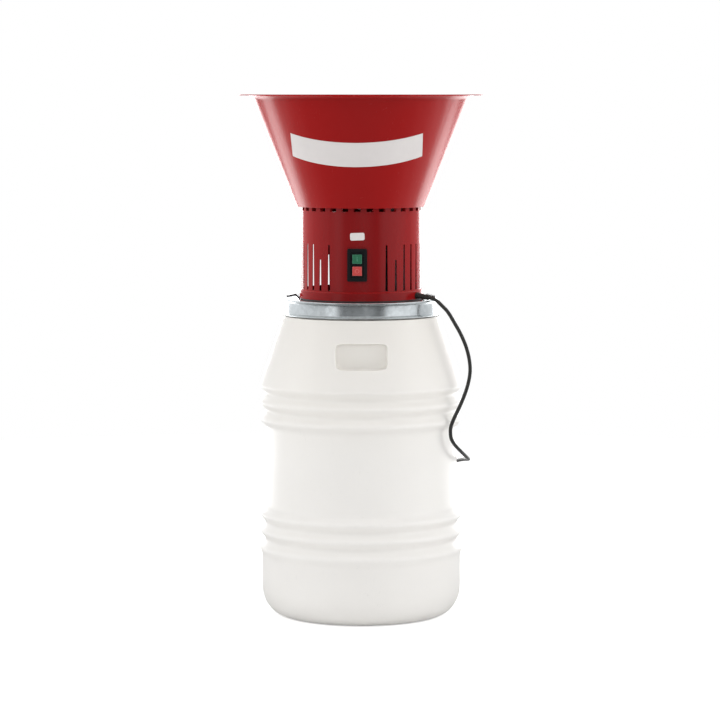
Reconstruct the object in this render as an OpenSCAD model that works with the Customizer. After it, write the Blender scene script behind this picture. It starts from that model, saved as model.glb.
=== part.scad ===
// Electric grain mill on its drum. Millimetres, +Z up, origin at the centre of the drum's base.
// The switch faces -Y. An azimuth is counted from there, positive towards +X.

/* [Drum] */
// Height of the drum from the floor to its mouth
drum_h = 598; // [560:1:640]
// Radius of the body below the lower ribs
drum_body_r = 189.4; // [184:0.2:196]
// How far the straight wall between the rib groups is set in from the body
wall_set_in = 6.9; // [4:0.1:10]
// How far the ribs' tips stand out from the body
rib_out = 4; // [2:0.2:6]
// How far the grooves between the ribs are set in from the body
groove_in = 6.4; // [4:0.1:10]
// Height of the lowest rib's tip
low_rib_z = 130; // [110:1:150]
// Height of the first rib's tip in the upper group
up_rib_z = 377; // [350:1:380]
// Distance from one rib's tip to the next
rib_pitch = 32; // [28:0.5:34]
// Height of the neck above the ledge where the shoulder ends
neck_h = 26; // [24:1:34]
// Radius of that ledge
shoulder_r = 148; // [145:0.5:152]
// Outer radius of the foot ring
foot_r = 146; // [135:1:160]
// Height of the rounded edge above the foot ring
foot_edge_h = 54; // [40:1:60]
// Height of the hollow under the base
foot_hollow_h = 8; // [5:0.5:12]
// Wall thickness of the drum
drum_wall = 3; // [2.4:0.1:4]
// Inner radius of the mouth
mouth_r = 133; // [128:0.5:134]
// Wall thickness of the neck
neck_wall = 4; // [3:0.1:4.5]
// How far the bead round the mouth stands out from the neck
mouth_bead = 2.5; // [1:0.1:3]
// Height of that bead
bead_h = 10; // [6:0.5:12]
// Width of a hand grip pocket
grip_w = 99; // [85:1:110]
// Height of a hand grip pocket
grip_h = 50; // [40:1:55]
// Height of a pocket's lower edge
grip_z = 481; // [475:1:490]
// Depth of a pocket at its upper edge
grip_deep = 14.2; // [10:0.2:18]
// Corner radius of a pocket
grip_corner = 9; // [4:0.5:14]
// Angle by which the drum is turned from the mill's front
drum_turn = 4; // [-10:1:10]

/* [Cover] */
// Thickness of the mouth gasket
gasket_t = 3.5; // [3:0.1:5]
// Thickness of the cover's sheet
cover_t = 1.5; // [1:0.1:2]
// Outer radius of the cover's band
cover_r = 142; // [141.5:0.1:144]
// Radius at the cover's lips
cover_lip_r = 148; // [147:0.5:150]
// Height of the cover from the lower lip to the top
cover_h = 29.5; // [28:0.1:30.5]
// Width of the seat that the base plate takes on the cover's top
cover_seat = 7; // [6.5:0.5:10]

/* [Base plate] */
// Thickness of the base plate
plate_t = 3; // [2.5:0.1:4]
// Width of each ear
ear_w = 24; // [16:1:30]
// Thickness of each ear
ear_t = 2.5; // [2:0.1:3]
// Distance from an ear's tip to the edge of the cover's bead
ear_short = 7; // [5:0.5:12]
// Height of an ear's bend above the cover
ear_rise = 10; // [8:0.5:12]
// How far an ear's bend stands out from the collar
ear_lean = 7; // [5:0.5:9]

/* [Housing] */
// Outer radius of the housing
housing_r = 113; // [111:0.5:117]
// Thickness of the housing's sheet
housing_t = 1.2; // [1:0.1:2]
// Height of the housing
housing_h = 166; // [150:1:180]
// How far the collar at its foot stands out
collar_step = 4; // [3.5:0.5:6]
// Height of the collar
collar_h = 16; // [14:0.5:17]
// Azimuth of the first slot on each side of the switch
slot_first = 28.6; // [25:0.2:32]
// Angle from one slot to the next
slot_step = 10.3; // [8:0.1:12]
// Slots from one short slot to the next, counted from the second slot
slot_short_every = 10; // [3:1:12]
// Height of a slot's lower end above the base plate
slot_low = 18; // [17:0.5:22]
// Length of a long slot
slot_long = 86; // [60:1:90]
// Length of a short slot
slot_short = 58; // [40:1:70]
// Width of a slot at its lower end
slot_w_low = 5.4; // [4:0.1:7]
// Width of a slot at its upper end
slot_w_top = 3.6; // [2:0.1:5]

/* [Vent ring] */
// Height of the openings under the hopper
vent_h = 7; // [6:0.5:10]
// Number of openings
vent_count = 30; // [20:1:36]
// Width of an opening
vent_w = 12.5; // [8:0.5:14]
// Radial width of the ring
vent_ring_w = 9; // [8:0.5:10]
// Depth of the ring's skirt inside the housing
vent_skirt = 15; // [8:1:20]
// Clearance angle on each side of the shutter's lever in its window
window_gap = 8; // [6:1:10]

/* [Hopper] */
// How far the foot of the cone stands out from the housing
hopper_overhang = 10; // [6:0.5:12]
// Outer radius at the top of the cone
hopper_top_r = 204; // [190:1:220]
// Height of the cone
hopper_cone_h = 201; // [180:1:220]
// Outer radius of the rim
rim_r = 232; // [222:1:240]
// Height of the curve from the cone to the rim
rim_rise = 10; // [8:0.5:14]
// Thickness of the rim
rim_t = 1.8; // [1.5:0.1:3]
// Wall thickness of the hopper
hopper_wall = 3; // [2:0.1:4]
// Height of the funnel inside the hopper
funnel_h = 88; // [60:1:110]
// Thickness of the funnel's sheet
funnel_t = 1.2; // [1:0.1:2]
// Length of the hopper label along its middle
label_w = 266; // [200:1:300]
// Height of the hopper label
label_h = 48; // [35:1:60]
// Distance along the cone from its foot to the label's lower edge
label_up = 84; // [60:1:110]

/* [Feed] */
// Distance from the axis to the middle of the feed outlet
duct_x = 74; // [73.5:0.5:74.5]
// Width of the feed outlet, outwards from the axis
duct_w = 28; // [22:1:28]
// Length of the feed outlet
duct_l = 54; // [40:1:55]
// Thickness of the duct's sheet
duct_t = 1.5; // [1:0.1:1.5]
// Thickness of the shutter
shutter_t = 2; // [1.5:0.1:2.2]
// Angle through which the shutter opens
shutter_swing = 50; // [45:1:52]
// Distance from the housing to the middle of the shutter's knob
knob_out = 23; // [20:0.5:27]
// Radius of the shutter's knob
knob_r = 9; // [7:0.5:10]

/* [Switch] */
// Width of the switch frame
frame_w = 36.8; // [34:0.2:44]
// Height of the switch frame
frame_h = 61; // [56:1:70]
// How far the frame stands out from the housing
frame_out = 4.5; // [3.5:0.1:6]
// Height of the switch's middle above the base plate
switch_up = 67.5; // [60:0.5:90]
// Width of the well in the frame
well_w = 25; // [22:0.5:28]
// Height of the well in the frame
well_h = 50; // [44:0.5:53]
// Depth of the well
well_deep = 3; // [1.5:0.1:3.5]
// Width of each button
button_w = 17.6; // [16:0.1:20]
// Height of each button
button_h = 17; // [16:0.1:19]
// Distance from one button's middle to the other's
button_pitch = 22.5; // [20:0.5:24]
// How far the buttons travel
button_travel = 3; // [2:0.1:3.5]
// Clearance round each button
button_gap = 0.3; // [0.2:0.05:0.5]
// Width of the small label above the switch
tag_w = 27; // [20:0.5:34]
// Height of the small label
tag_h = 14; // [10:0.5:18]
// Height of the small label's middle above the base plate
tag_up = 120.5; // [112:0.5:140]
// Tilt of the small label
tag_tilt = 2; // [0:1:5]

/* [Motor] */
// Outer radius of the motor
motor_r = 56.5; // [54:0.5:57]
// Thickness of the motor's frame
motor_frame_t = 2.5; // [2:0.1:3]
// Height of the motor's frame
motor_frame_h = 86; // [80:1:92]
// Bore radius of the stator
stator_bore_r = 30.5; // [28:0.5:34]
// Height of the stator's core
stator_h = 50; // [40:1:56]
// Air gap between stator and rotor
air_gap = 0.5; // [0.3:0.1:1]
// Radius of the shaft
shaft_r = 7.5; // [7:0.1:8]
// Radius of the shaft below the blade collar
journal_r = 7; // [5:0.1:7]
// Outer radius of a bearing
bearing_r = 17.5; // [17:0.5:20]
// Width of a bearing
bearing_w = 11; // [9:0.5:12]
// Height of the fan cowl
cowl_h = 36; // [32:1:40]
// Radius of the fan
fan_r = 46; // [40:1:48]
// Number of fan blades
fan_blades = 9; // [5:1:12]
// Radius of the capacitor
capacitor_r = 18; // [15:0.5:18]
// Height of the capacitor
capacitor_h = 68; // [50:1:80]

/* [Grinding chamber] */
// Distance from the sieve to the circle that the studs stand on
sieve_inset = 6; // [5.5:0.5:8]
// Thickness of the sieve
sieve_t = 1; // [0.8:0.1:2]
// Height of the sieve
sieve_h = 55; // [50:1:60]
// Radius of a hole in the sieve
sieve_hole_r = 4; // [2:0.5:5]
// Number of holes round the sieve
sieve_holes = 32; // [24:2:36]
// Rows of holes in the sieve
sieve_rows = 3; // [2:1:4]
// Width of the chamber floor outside the studs' circle
floor_border = 6; // [5:0.5:7]
// Thickness of the chamber floor
floor_t = 3; // [2:0.5:4]
// Distance from the studs' circle to the edge of the cover's opening
stud_inset = 10; // [9:0.5:12]
// Radius of a stud
stud_r = 3; // [2.5:0.5:3]
// Running gap between the blades' tips and the sieve
blade_gap = 6; // [5:0.5:12]
// Width of a blade
blade_w = 28; // [20:1:34]
// Thickness of a blade
blade_t = 4; // [3:0.5:5]

/* [Cord] */
// Diameter of the cord
cord_d = 7; // [6:0.1:7.2]
// Azimuth of the cord's exit
gland_azimuth = 66; // [60:1:70]
// Length of the tapered strain relief
relief_len = 22; // [20:1:30]
// Angle by which the strain relief and the cord's first stretch droop
relief_droop = 8; // [0:1:10]
// Radius of the coil's outermost turn
coil_r = 47; // [44:1:52]
// Distance between the coil's turns and between its layers
coil_pitch = 7.7; // [7.6:0.1:8.5]

/* [Hidden] */
$fn = 64;

// Clearances: pieces seated in each other, holes for screws, moving faces, cut-through allowance
seat_gap = 0.05;
hole_gap = 0.2;
run_gap = 0.4;
cut = 1;

// Heights, from the floor up
shoulder_z = drum_h - neck_h;
cover_top = drum_h + gasket_t + cover_t;
plate_top = cover_top + plate_t;
housing_top = plate_top + housing_h;
hopper_z = housing_top + vent_h;
hopper_floor_top = hopper_z + hopper_wall;
cone_top = hopper_z + hopper_cone_h;
rim_z = cone_top + rim_rise;
chamber_floor_top = cover_top - sieve_h;
chamber_floor_low = chamber_floor_top - floor_t;

// Radii that follow from the driving ones
drum_wall_r = drum_body_r - wall_set_in;
drum_rib_r = drum_body_r + rib_out;
drum_groove_r = drum_body_r - groove_in;
neck_r = mouth_r + neck_wall;
collar_r = housing_r + collar_step;
cover_hole_r = collar_r - cover_seat;
hopper_low_r = housing_r + hopper_overhang;
ear_reach = cover_lip_r - ear_short;
stud_circle_r = cover_hole_r - stud_inset;
sieve_r = stud_circle_r - sieve_inset;
floor_r = stud_circle_r + floor_border;
blade_r = sieve_r - blade_gap;
housing_in = housing_r - housing_t;
skirt_out = housing_in - hole_gap;
vent_in = housing_r - vent_ring_w;
motor_in = motor_r - motor_frame_t;
cone_slope = (hopper_top_r - hopper_low_r) / hopper_cone_h;
cone_half = atan(cone_slope);
cone_side = hopper_wall / cos(cone_half);

// Motor: the lower bell stands on the base plate
bell_flange = 4;
frame_z = plate_top + bell_flange;
frame_top = frame_z + motor_frame_h;
bearing_low_z = plate_top + 2;
bearing_up_z = frame_top + bell_flange;
boss_r = bearing_r + 4.5;
stator_z = frame_z + (motor_frame_h - stator_h) / 2;
winding_h = 12;
winding_w = 15;
bolt_circle_r = motor_in - 3.2;
bolt_r = 2;
shaft_hole_r = shaft_r + 1.5;
race_split = shaft_r + 3;
fan_z = bearing_up_z + bearing_w + 4;
fan_h = 13;
fan_plate = 1.5;
cowl_t = 1.5;
cowl_top = bearing_up_z + cowl_h;
cowl_eye_r = 28;
shaft_top = fan_z + fan_h + 1;

// Blades: the collar rests on the shaft's shoulder, both blades below it
collar_z = cover_top - 25;
blade_collar_h = 14;
blade_collar_r = 16;
nut_h = 9;
washer_t = 1.5;
lower_blade_z = collar_z - 2 * blade_t;
nut_top = lower_blade_z - washer_t;
shaft_low = nut_top - nut_h - 2;
seal_r = 13;

// Feed
duct_out_w = duct_w + 2 * duct_t;
duct_out_l = duct_l + 2 * duct_t;
shutter_top = hopper_z - run_gap;
shutter_low = shutter_top - shutter_t;
duct_top = shutter_low - run_gap;
shutter_in = duct_x - duct_w / 2 - 4;
shutter_out = min(vent_in - 2, duct_x + duct_w / 2 + 8);
shutter_half = atan(duct_l / 2 / (duct_x - duct_w / 2)) + 2;
pin_r = 5;
pin_bore_r = pin_r + 0.08;
hub_r = 12;
lever_w = 10;
knob_at = housing_r + knob_out;
lever_end = knob_at + knob_r - 4;
lever_rest = 90 - shutter_swing / 2;
window_half = shutter_swing / 2 + window_gap;
spout_gap = 0.3;
funnel_top_z = hopper_z + funnel_h;
funnel_top_r = hopper_low_r + cone_slope * funnel_h - cone_side - 2 * run_gap;

// Studs, screws and capacitor
stud_head_h = 4;
stud_head_r = 5;
stud_low = chamber_floor_low - 12;
wing_h = 8;
cover_screws = 6;
cover_screw_circle = collar_r - 3;
cover_screw_r = 2;
cover_screw_bite = 8;
hopper_screw_circle = housing_r - vent_ring_w / 2;
hopper_screw_slots = [3, 11, 18, 26];
hopper_screw_bite = 5;
screw_head_r = 3.4;
screw_head_h = 3;
capacitor_turn = 45;
capacitor_reach = motor_r + capacitor_r + 3.5;
capacitor_at = capacitor_reach * [cos(capacitor_turn), sin(capacitor_turn)];

// Switch
switch_z = plate_top + switch_up;
frame_face = housing_r + frame_out;
body_front = housing_r - 3;
body_w = well_w + 2;
body_h = well_h - 1;
body_deep = 32;
button_face = frame_face + 1;
button_len = 10;
button_back = button_face - button_len;
cavity_end = button_back - button_travel - 3.5;
spring_r = 4;
spring_wire = 0.8;
spring_turns = 4;
mark_deep = 0.5;
mark_line = 1.1;

// Cord: exit at the end of the strain relief, then points chosen by hand, then the coil
gland_nut_r = 7.4;
gland_z = plate_top + gland_nut_r * cos(30) + 0.3;
gland_thread_r = 5;
gland_flange_r = 6.2;
gland_flange = 4;
nut_len = 5;
thread_in = housing_in - nut_len - 2.5;
relief_at = collar_r + gland_flange;
exit_dir = [sin(gland_azimuth), -cos(gland_azimuth), 0];
droop_dir = cos(relief_droop) * exit_dir - [0, 0, sin(relief_droop)];
cord_exit = relief_at * exit_dir + relief_len * droop_dir + [0, 0, gland_z];
cord_sides = 8;
coil_layer_z = 5;
coil_at = [0, 261];
coil_turns_in = 1.75;
coil_turns_flip = 0.5;
coil_turns = 2 * coil_turns_in + coil_turns_flip;
coil_rings = 24;
coil_start = [coil_at.x, coil_at.y - coil_r, coil_layer_z];
plug_tilt = 5.5;
tail_run = 6;
straight_run = 9;
cord_points = [
    cord_exit, cord_exit + 6 * droop_dir,
    [144, -64, 606], [151, -67, 600.5], [158.5, -71, 593.5], [168, -75, 583.5], [180, -77, 564],
    [192, -80, 543],
    [202, -83, 520], [208, -84, 497], [210, -85, 475], [207, -87, 453], [200, -89, 430],
    [190, -92, 406], [181, -95, 387], [175, -97, 371], [174, -98, 358], [176, -95, 346],
    [183, -84, 333], [193, -67, 320], [201, -44, 309], [205, -18, 301], [204, 12, 296],
    [197, 42, 292], [184, 76, 286], [165, 112, 275], [140, 145, 257], [116, 170, 230],
    [99, 187, 196], [89, 198, 160], [82, 205, 122], [75, 209, 86], [66, 212, 52],
    [53, 213, 27], [38, 214, 12], [22, 214, 5], coil_start + [cord_d, 0, 0]];

// General helpers

// A prism from an outline in X and Z, from y = -y0 outwards
module front_prism(y0, depth) {
    rotate([90, 0, 0]) translate([0, 0, y0]) linear_extrude(depth) children();
}

// A rectangle with round corners, about its middle
module round_rect(w, h, r) {
    square([w - 2 * r, h], center = true);
    square([w, h - 2 * r], center = true);
    for (x = [-1, 1], y = [-1, 1]) translate([x * (w / 2 - r), y * (h / 2 - r)]) circle(r);
}

// A ring standing on z
module tube(r_out, r_in, z, h) {
    translate([0, 0, z]) difference() {
        cylinder(r = r_out, h = h);
        translate([0, 0, -cut]) cylinder(r = r_in, h = h + 2 * cut);
    }
}

// A round bar along Z, from z upwards
module bar(r, z, h) {
    translate([0, 0, z]) cylinder(r = r, h = h);
}

// A plain block from its lowest corner to its highest
module block(low, high) {
    translate(low) cube(high - low);
}

module turned(azimuth) {
    rotate([0, 0, azimuth]) children();
}

// A pan-head screw, head up, the underside of its head at z
module screw(r, len, z) {
    bar(r, z - len, len + 0.1);
    difference() {
        bar(screw_head_r, z, screw_head_h);
        translate([0, 0, z + 1.2]) cylinder(r = 1.8, h = screw_head_h, $fn = 6);
    }
}

// Points along a smooth curve through the given ones
function curve_at(a, b, c, d, t) = 0.5 * (2 * b + (c - a) * t + (2 * a - 5 * b + 4 * c - d) * t * t
    + (3 * b - a - 3 * c + d) * t * t * t);
function smooth_route(p, steps) = [
    for (i = [0 : len(p) - 2]) for (s = [0 : steps - 1])
        curve_at(p[max(i - 1, 0)], p[i], p[i + 1], p[min(i + 2, len(p) - 1)], s / steps),
    p[len(p) - 1]];
function unit(v) = v / norm(v);
function heading(p, i) = unit(p[min(i + 1, len(p) - 1)] - p[max(i - 1, 0)]);
function sideways(n, t) = unit(n - (n * t) * t);

// A round tube along a route: rings of sides corners, closed at both ends, all triangles
module swept_tube(p, r, sides) {
    count = len(p);
    across = [for (i = 0, n = sideways([0.1, 0.2, 1], heading(p, 0)); i < count;
        i = i + 1, n = i < count ? sideways(n, heading(p, i)) : n) n];
    rings = [for (i = [0 : count - 1]) let (t = heading(p, i), n = across[i], b = cross(t, n))
        for (k = [0 : sides - 1]) p[i] + r * (cos(360 * k / sides) * n + sin(360 * k / sides) * b)];
    points = concat(rings, [p[0], p[count - 1]]);
    first = len(rings);
    faces = concat(
        [for (k = [0 : sides - 1]) [first, k, (k + 1) % sides]],
        [for (i = [0 : count - 2], k = [0 : sides - 1]) let (a = i * sides, m = (k + 1) % sides)
            each [[a + k, a + sides + k, a + m], [a + m, a + sides + k, a + sides + m]]],
        [for (k = [0 : sides - 1]) let (a = (count - 1) * sides) [first + 1, a + (k + 1) % sides, a + k]]);
    polyhedron(points, faces, convexity = 10);
}

// Drum

// Cosine steps from one radius to the next, so that ribs and grooves are round
rib_steps = 6;
function rib_flank(a, b) = [for (s = [0 : rib_steps - 1])
    [a.x + (b.x - a.x) * (1 - cos(180 * s / rib_steps)) / 2, a.y + (b.y - a.y) * s / rib_steps]];
function rib_keys(z, before, after) = [[before, z - rib_pitch / 2],
    for (i = [0 : 4]) [i % 2 == 0 ? drum_rib_r : drum_groove_r, z + i * rib_pitch / 2],
    if (after > 0) [after, z + 2.5 * rib_pitch]];
drum_keys = concat(rib_keys(low_rib_z, drum_body_r, drum_wall_r), rib_keys(up_rib_z, drum_wall_r, 0));
drum_side = concat([for (i = [0 : len(drum_keys) - 2]) each rib_flank(drum_keys[i], drum_keys[i + 1])],
    [drum_keys[len(drum_keys) - 1]]);
function foot_arc(in) = [for (a = [0 : 10 : 90])
    [foot_r + (drum_body_r - foot_r) * sin(a) - in * sin(a), in * cos(a) + foot_edge_h * (1 - cos(a))]];
module drum_outside() {
    rotate_extrude() polygon(concat(
        [[0, foot_hollow_h], [foot_r - 22, foot_hollow_h], [foot_r - 12, 0]], foot_arc(0), drum_side,
        [[shoulder_r, shoulder_z], [neck_r, shoulder_z], [neck_r, drum_h - bead_h],
            [neck_r + mouth_bead, drum_h - bead_h + mouth_bead], [neck_r + mouth_bead, drum_h],
            [0, drum_h]]));
}

module drum_inside() {
    side = drum_wall * 1.06;
    rotate_extrude() polygon(concat(
        [[0, foot_hollow_h + drum_wall], [foot_r - 20, foot_hollow_h + drum_wall], [foot_r - 10, drum_wall]],
        foot_arc(drum_wall), [for (p = drum_side) [p.x - side, p.y]],
        [[shoulder_r - side, shoulder_z - drum_wall], [mouth_r, shoulder_z - drum_wall],
            [mouth_r, drum_h + cut], [0, drum_h + cut]]));
}

// Heights where the shoulder starts and ends, and its radius in between
shoulder_foot_z = up_rib_z + 2 * rib_pitch;
neck_z = shoulder_z - drum_wall;
function shoulder_at(z) = drum_rib_r
    + (shoulder_r - drum_rib_r) * (z - shoulder_foot_z) / (shoulder_z - shoulder_foot_z);
grip_floor_r = shoulder_at(grip_z + grip_h) - grip_deep;

module grip_pocket(extra) {
    reach = 1.3 * (drum_rib_r - grip_floor_r);
    translate([0, 0, grip_z + grip_h / 2]) front_prism(grip_floor_r - extra, reach)
        round_rect(grip_w + 2 * extra, grip_h + 2 * extra, grip_corner + extra);
}

// The drum is one moulding, made here as its body, its shoulder and its neck, which meet face to face
module drum_part(low, high) {
    color([0.93, 0.92, 0.9]) turned(drum_turn) intersection() {
        difference() {
            drum_outside();
            children();
        }
        bar(1.2 * drum_rib_r, low, high - low);
    }
}

module drum_body() {
    drum_part(-cut, shoulder_foot_z) drum_inside();
}

module drum_shoulder() {
    drum_part(shoulder_foot_z, neck_z) {
        difference() {
            drum_inside();
            for (a = [0, 180]) turned(a) grip_pocket(drum_wall);
        }
        for (a = [0, 180]) turned(a) grip_pocket(0);
    }
}

module drum_neck() {
    drum_part(neck_z, drum_h + cut) drum_inside();
}

module mouth_gasket() {
    color([0.12, 0.12, 0.12]) tube(neck_r + mouth_bead, mouth_r, drum_h, gasket_t);
}

// Cover and base plate

module cover_screw_places() {
    for (i = [0 : cover_screws - 1]) turned(30 + i * 360 / cover_screws)
        translate([cover_screw_circle, 0, 0]) children();
}

// The cover is one spun sheet, made here as its disc with the bead and its band with the lip
cover_bead_r = 2.3;
cover_lip = 1.7;

module drum_cover() {
    bead_at = cover_lip_r - cover_bead_r;
    color([0.68, 0.7, 0.7]) difference() {
        union() {
            tube(bead_at, cover_hole_r, cover_top - cover_t, cover_t);
            rotate_extrude() translate([bead_at, cover_top - cover_t / 2]) circle(cover_bead_r);
        }
        bar(cover_r, cover_top - cover_t - 2 * cover_bead_r, 2 * cover_bead_r);
        cover_screw_places() bar(cover_screw_r + hole_gap, cover_top - cover_t - cut, cover_t + 2 * cut);
    }
}

module cover_band() {
    low_z = cover_top - cover_h;
    lip_at = cover_lip_r - cover_lip;
    color([0.68, 0.7, 0.7]) union() {
        tube(cover_r, cover_r - cover_t, low_z, cover_h - cover_t);
        tube(lip_at, cover_r - cover_t / 2, low_z, cover_t);
        rotate_extrude() translate([lip_at, low_z + cover_lip]) circle(cover_lip);
    }
}

module chamber_stud_places() {
    for (a = [60, 180, 300]) turned(a + 60) translate([0, -stud_circle_r, 0]) children();
}

module motor_bolt_places() {
    for (a = [45 : 90 : 315]) turned(a) translate([bolt_circle_r, 0, 0]) children();
}

// One bent ear: it leans outwards from the plate's edge to its bend, then runs down to the cover's bead
module ear() {
    foot_x = collar_r + 0.6;
    bend_x = collar_r + ear_lean;
    top_z = cover_top + ear_rise;
    tip_z = cover_top + 3.4;
    rotate([90, 0, 0]) linear_extrude(ear_w, center = true) polygon([
        [foot_x - 6, cover_top], [foot_x + 1, cover_top], [bend_x + 0.6, top_z - 1.35 * ear_t],
        [ear_reach, tip_z], [ear_reach + 0.5, tip_z + ear_t], [bend_x, top_z],
        [foot_x, plate_top + 1], [foot_x, plate_top], [foot_x - 6, plate_top]]);
}

module base_plate() {
    color([0.07, 0.07, 0.08]) difference() {
        union() {
            bar(collar_r, cover_top, plate_t);
            for (a = [0, 180]) turned(a) ear();
        }
        bar(seal_r, cover_top - cut, plate_t + 2 * cut);
        translate([duct_x, 0, cover_top - cut]) linear_extrude(plate_t + 2 * cut)
            square([duct_w, duct_l], center = true);
        chamber_stud_places() bar(stud_r + hole_gap, cover_top - cut, plate_t + 2 * cut);
        motor_bolt_places() bar(bolt_r + seat_gap, cover_top - cut, plate_t + 2 * cut);
        cover_screw_places() bar(cover_screw_r + hole_gap, cover_top - cut, plate_t + 2 * cut);
    }
}

module base_screws() {
    color([0.6, 0.6, 0.62]) cover_screw_places() translate([0, 0, cover_top - cover_t]) mirror([0, 0, 1])
        screw(cover_screw_r, cover_t + plate_t + cover_screw_bite, 0);
}

// Housing

slots_a_side = floor((180 - slot_first - slot_step / 2) / slot_step) + 1;
function slot_is_short(i) = i % slot_short_every == 1;

module housing_slot(len) {
    translate([0, 0, plate_top + slot_low]) front_prism(housing_r - 6, 12) polygon([
        [-slot_w_low / 2, 0], [slot_w_low / 2, 0], [slot_w_top / 2, len], [-slot_w_top / 2, len]]);
}

module housing() {
    edge = 1.5;
    color([0.55, 0.05, 0.07]) difference() {
        union() {
            tube(housing_r, housing_in, plate_top, housing_h);
            rotate_extrude() polygon([[housing_in, plate_top], [collar_r, plate_top],
                [collar_r, plate_top + collar_h - edge], [collar_r - edge, plate_top + collar_h],
                [housing_in, plate_top + collar_h]]);
        }
        for (side = [-1, 1], i = [0 : slots_a_side - 1]) turned(side * (slot_first + i * slot_step))
            housing_slot(slot_is_short(i) ? slot_short : slot_long);
        translate([0, 0, switch_z]) front_prism(housing_r - 6, 12)
            square([body_w + 0.6, body_h + 0.6], center = true);
        gland_hole();
        cover_screw_places() bar(cover_screw_r + seat_gap, plate_top - cut, cover_screw_bite + 2 * cut);
    }
}

module hopper_screw_places() {
    for (i = hopper_screw_slots) turned((i + 0.5) * 360 / vent_count)
        translate([0, -hopper_screw_circle, 0]) children();
}

module vent_ring() {
    step = 360 / vent_count;
    screw_len = vent_h + hopper_screw_bite;
    color([0.5, 0.04, 0.05]) difference() {
        union() {
            tube(housing_r, vent_in, housing_top, vent_h);
            tube(skirt_out, vent_in, housing_top - vent_skirt, vent_skirt + 0.5);
        }
        for (i = [0 : vent_count - 1]) turned(i * step) translate([0, 0, housing_top])
            front_prism(vent_in - 5, vent_ring_w + 10)
                translate([-vent_w / 2, 0]) square([vent_w, vent_h + cut]);
        translate([0, 0, housing_top]) linear_extrude(vent_h + cut) polygon([[0, 0],
            for (s = [-1, -0.5, 0, 0.5, 1]) 1.3 * housing_r * [sin(s * window_half), cos(s * window_half)]]);
        hopper_screw_places()
            bar(cover_screw_r + seat_gap, housing_top - hopper_screw_bite - 3, screw_len + 3 + cut);
    }
}

// Hopper

// The cone and the rim meet in a smooth bend, seen from below at z and inset from the outside
rim_bend = 8;
bend_steps = 6;
function cone_r(z) = hopper_low_r + cone_slope * (z - hopper_z);
function rim_curve(z, inset) = let (
        corner = [cone_r(z) - inset, z],
        low = [cone_r(z - rim_bend) - inset, z - rim_bend],
        far = corner + [rim_bend, 0])
    [for (i = [0 : bend_steps]) let (s = i / bend_steps)
        (1 - s) * (1 - s) * low + 2 * s * (1 - s) * corner + s * s * far];

module hopper() {
    inner = rim_curve(rim_z, cone_side);
    color([0.63, 0.12, 0.12]) difference() {
        rotate_extrude() polygon(concat(
            [[0, hopper_z], [hopper_low_r, hopper_z]], rim_curve(rim_z - rim_t, 0),
            [[rim_r, rim_z - rim_t], [rim_r, rim_z]], [for (i = [bend_steps : -1 : 0]) inner[i]],
            [[cone_r(hopper_floor_top) - cone_side, hopper_floor_top], [0, hopper_floor_top]]));
        translate([duct_x, 0, hopper_z - cut]) linear_extrude(hopper_wall + 2 * cut)
            square([duct_w, duct_l], center = true);
        bar(pin_r + seat_gap, hopper_z - cut, hopper_wall + 2 * cut);
        hopper_screw_places() bar(cover_screw_r + hole_gap, hopper_z - cut, hopper_wall + 2 * cut);
    }
}

module hopper_screws() {
    color([0.6, 0.6, 0.62]) hopper_screw_places()
        screw(cover_screw_r, hopper_wall + vent_h + hopper_screw_bite, hopper_floor_top);
}

// A point of the label: u runs along its middle, v upwards, both flat before it is bent round the cone
function label_point(u, v, out) = let (
        foot = hopper_low_r / sin(cone_half) + label_up + v,
        reach = norm([u, foot]), turn = atan2(u, foot) / sin(cone_half),
        r = reach * sin(cone_half) + out * cos(cone_half),
        z = hopper_z + reach * cos(cone_half) - hopper_low_r / tan(cone_half) - out * sin(cone_half))
    [r * sin(turn), -r * cos(turn), z];

module hopper_label() {
    columns = 40;
    rows = 3;
    skin = [for (out = [0.12, 0.5], j = [0 : rows], i = [0 : columns])
        label_point(label_w * (i / columns - 0.5), label_h * j / rows, out)];
    wide = columns + 1;
    back = wide * (rows + 1);
    edge = concat([for (i = [0 : columns - 1]) i], [for (j = [0 : rows - 1]) j * wide + columns],
        [for (i = [columns : -1 : 1]) rows * wide + i], [for (j = [rows : -1 : 1]) j * wide]);
    faces = [
        for (j = [0 : rows - 1], i = [0 : columns - 1]) let (a = j * wide + i)
            each [[a, a + 1, a + wide], [a + 1, a + wide + 1, a + wide],
                [back + a, back + a + wide, back + a + 1],
                [back + a + 1, back + a + wide, back + a + wide + 1]],
        for (k = [0 : len(edge) - 1]) let (a = edge[k], b = edge[(k + 1) % len(edge)])
            each [[a, back + a, b], [b, back + a, back + b]]];
    color([0.85, 0.83, 0.8]) polyhedron(skin, faces, convexity = 4);
}

// Sloping sheet from the hopper's wall down to the outlet, and its spout
module feed_funnel() {
    spout_w = duct_w - 2 * spout_gap;
    spout_l = duct_l - 2 * spout_gap;
    mouth_z = hopper_floor_top + 0.5;
    color([0.6, 0.62, 0.62]) difference() {
        union() {
            hull() {
                translate([0, 0, funnel_top_z - 1]) cylinder(r = funnel_top_r, h = 1);
                translate([duct_x - duct_w / 2 - 3, -duct_l / 2 - 3, mouth_z])
                    cube([duct_w + 6, duct_l + 6, 0.5]);
            }
            translate([duct_x - spout_w / 2, -spout_l / 2, hopper_z])
                cube([spout_w, spout_l, hopper_wall + 2]);
        }
        translate([0, 0, 0.8 * funnel_t]) hull() {
            translate([0, 0, funnel_top_z - 1]) cylinder(r = funnel_top_r - funnel_t, h = 1.6);
            translate([duct_x - spout_w / 2 + funnel_t, -spout_l / 2 + funnel_t, mouth_z])
                cube([spout_w - 2 * funnel_t, spout_l - 2 * funnel_t, 0.5]);
        }
        translate([duct_x - spout_w / 2 + funnel_t, -spout_l / 2 + funnel_t, hopper_z - cut])
            cube([spout_w - 2 * funnel_t, spout_l - 2 * funnel_t, 10]);
    }
}

// Feed duct and shutter

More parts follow.
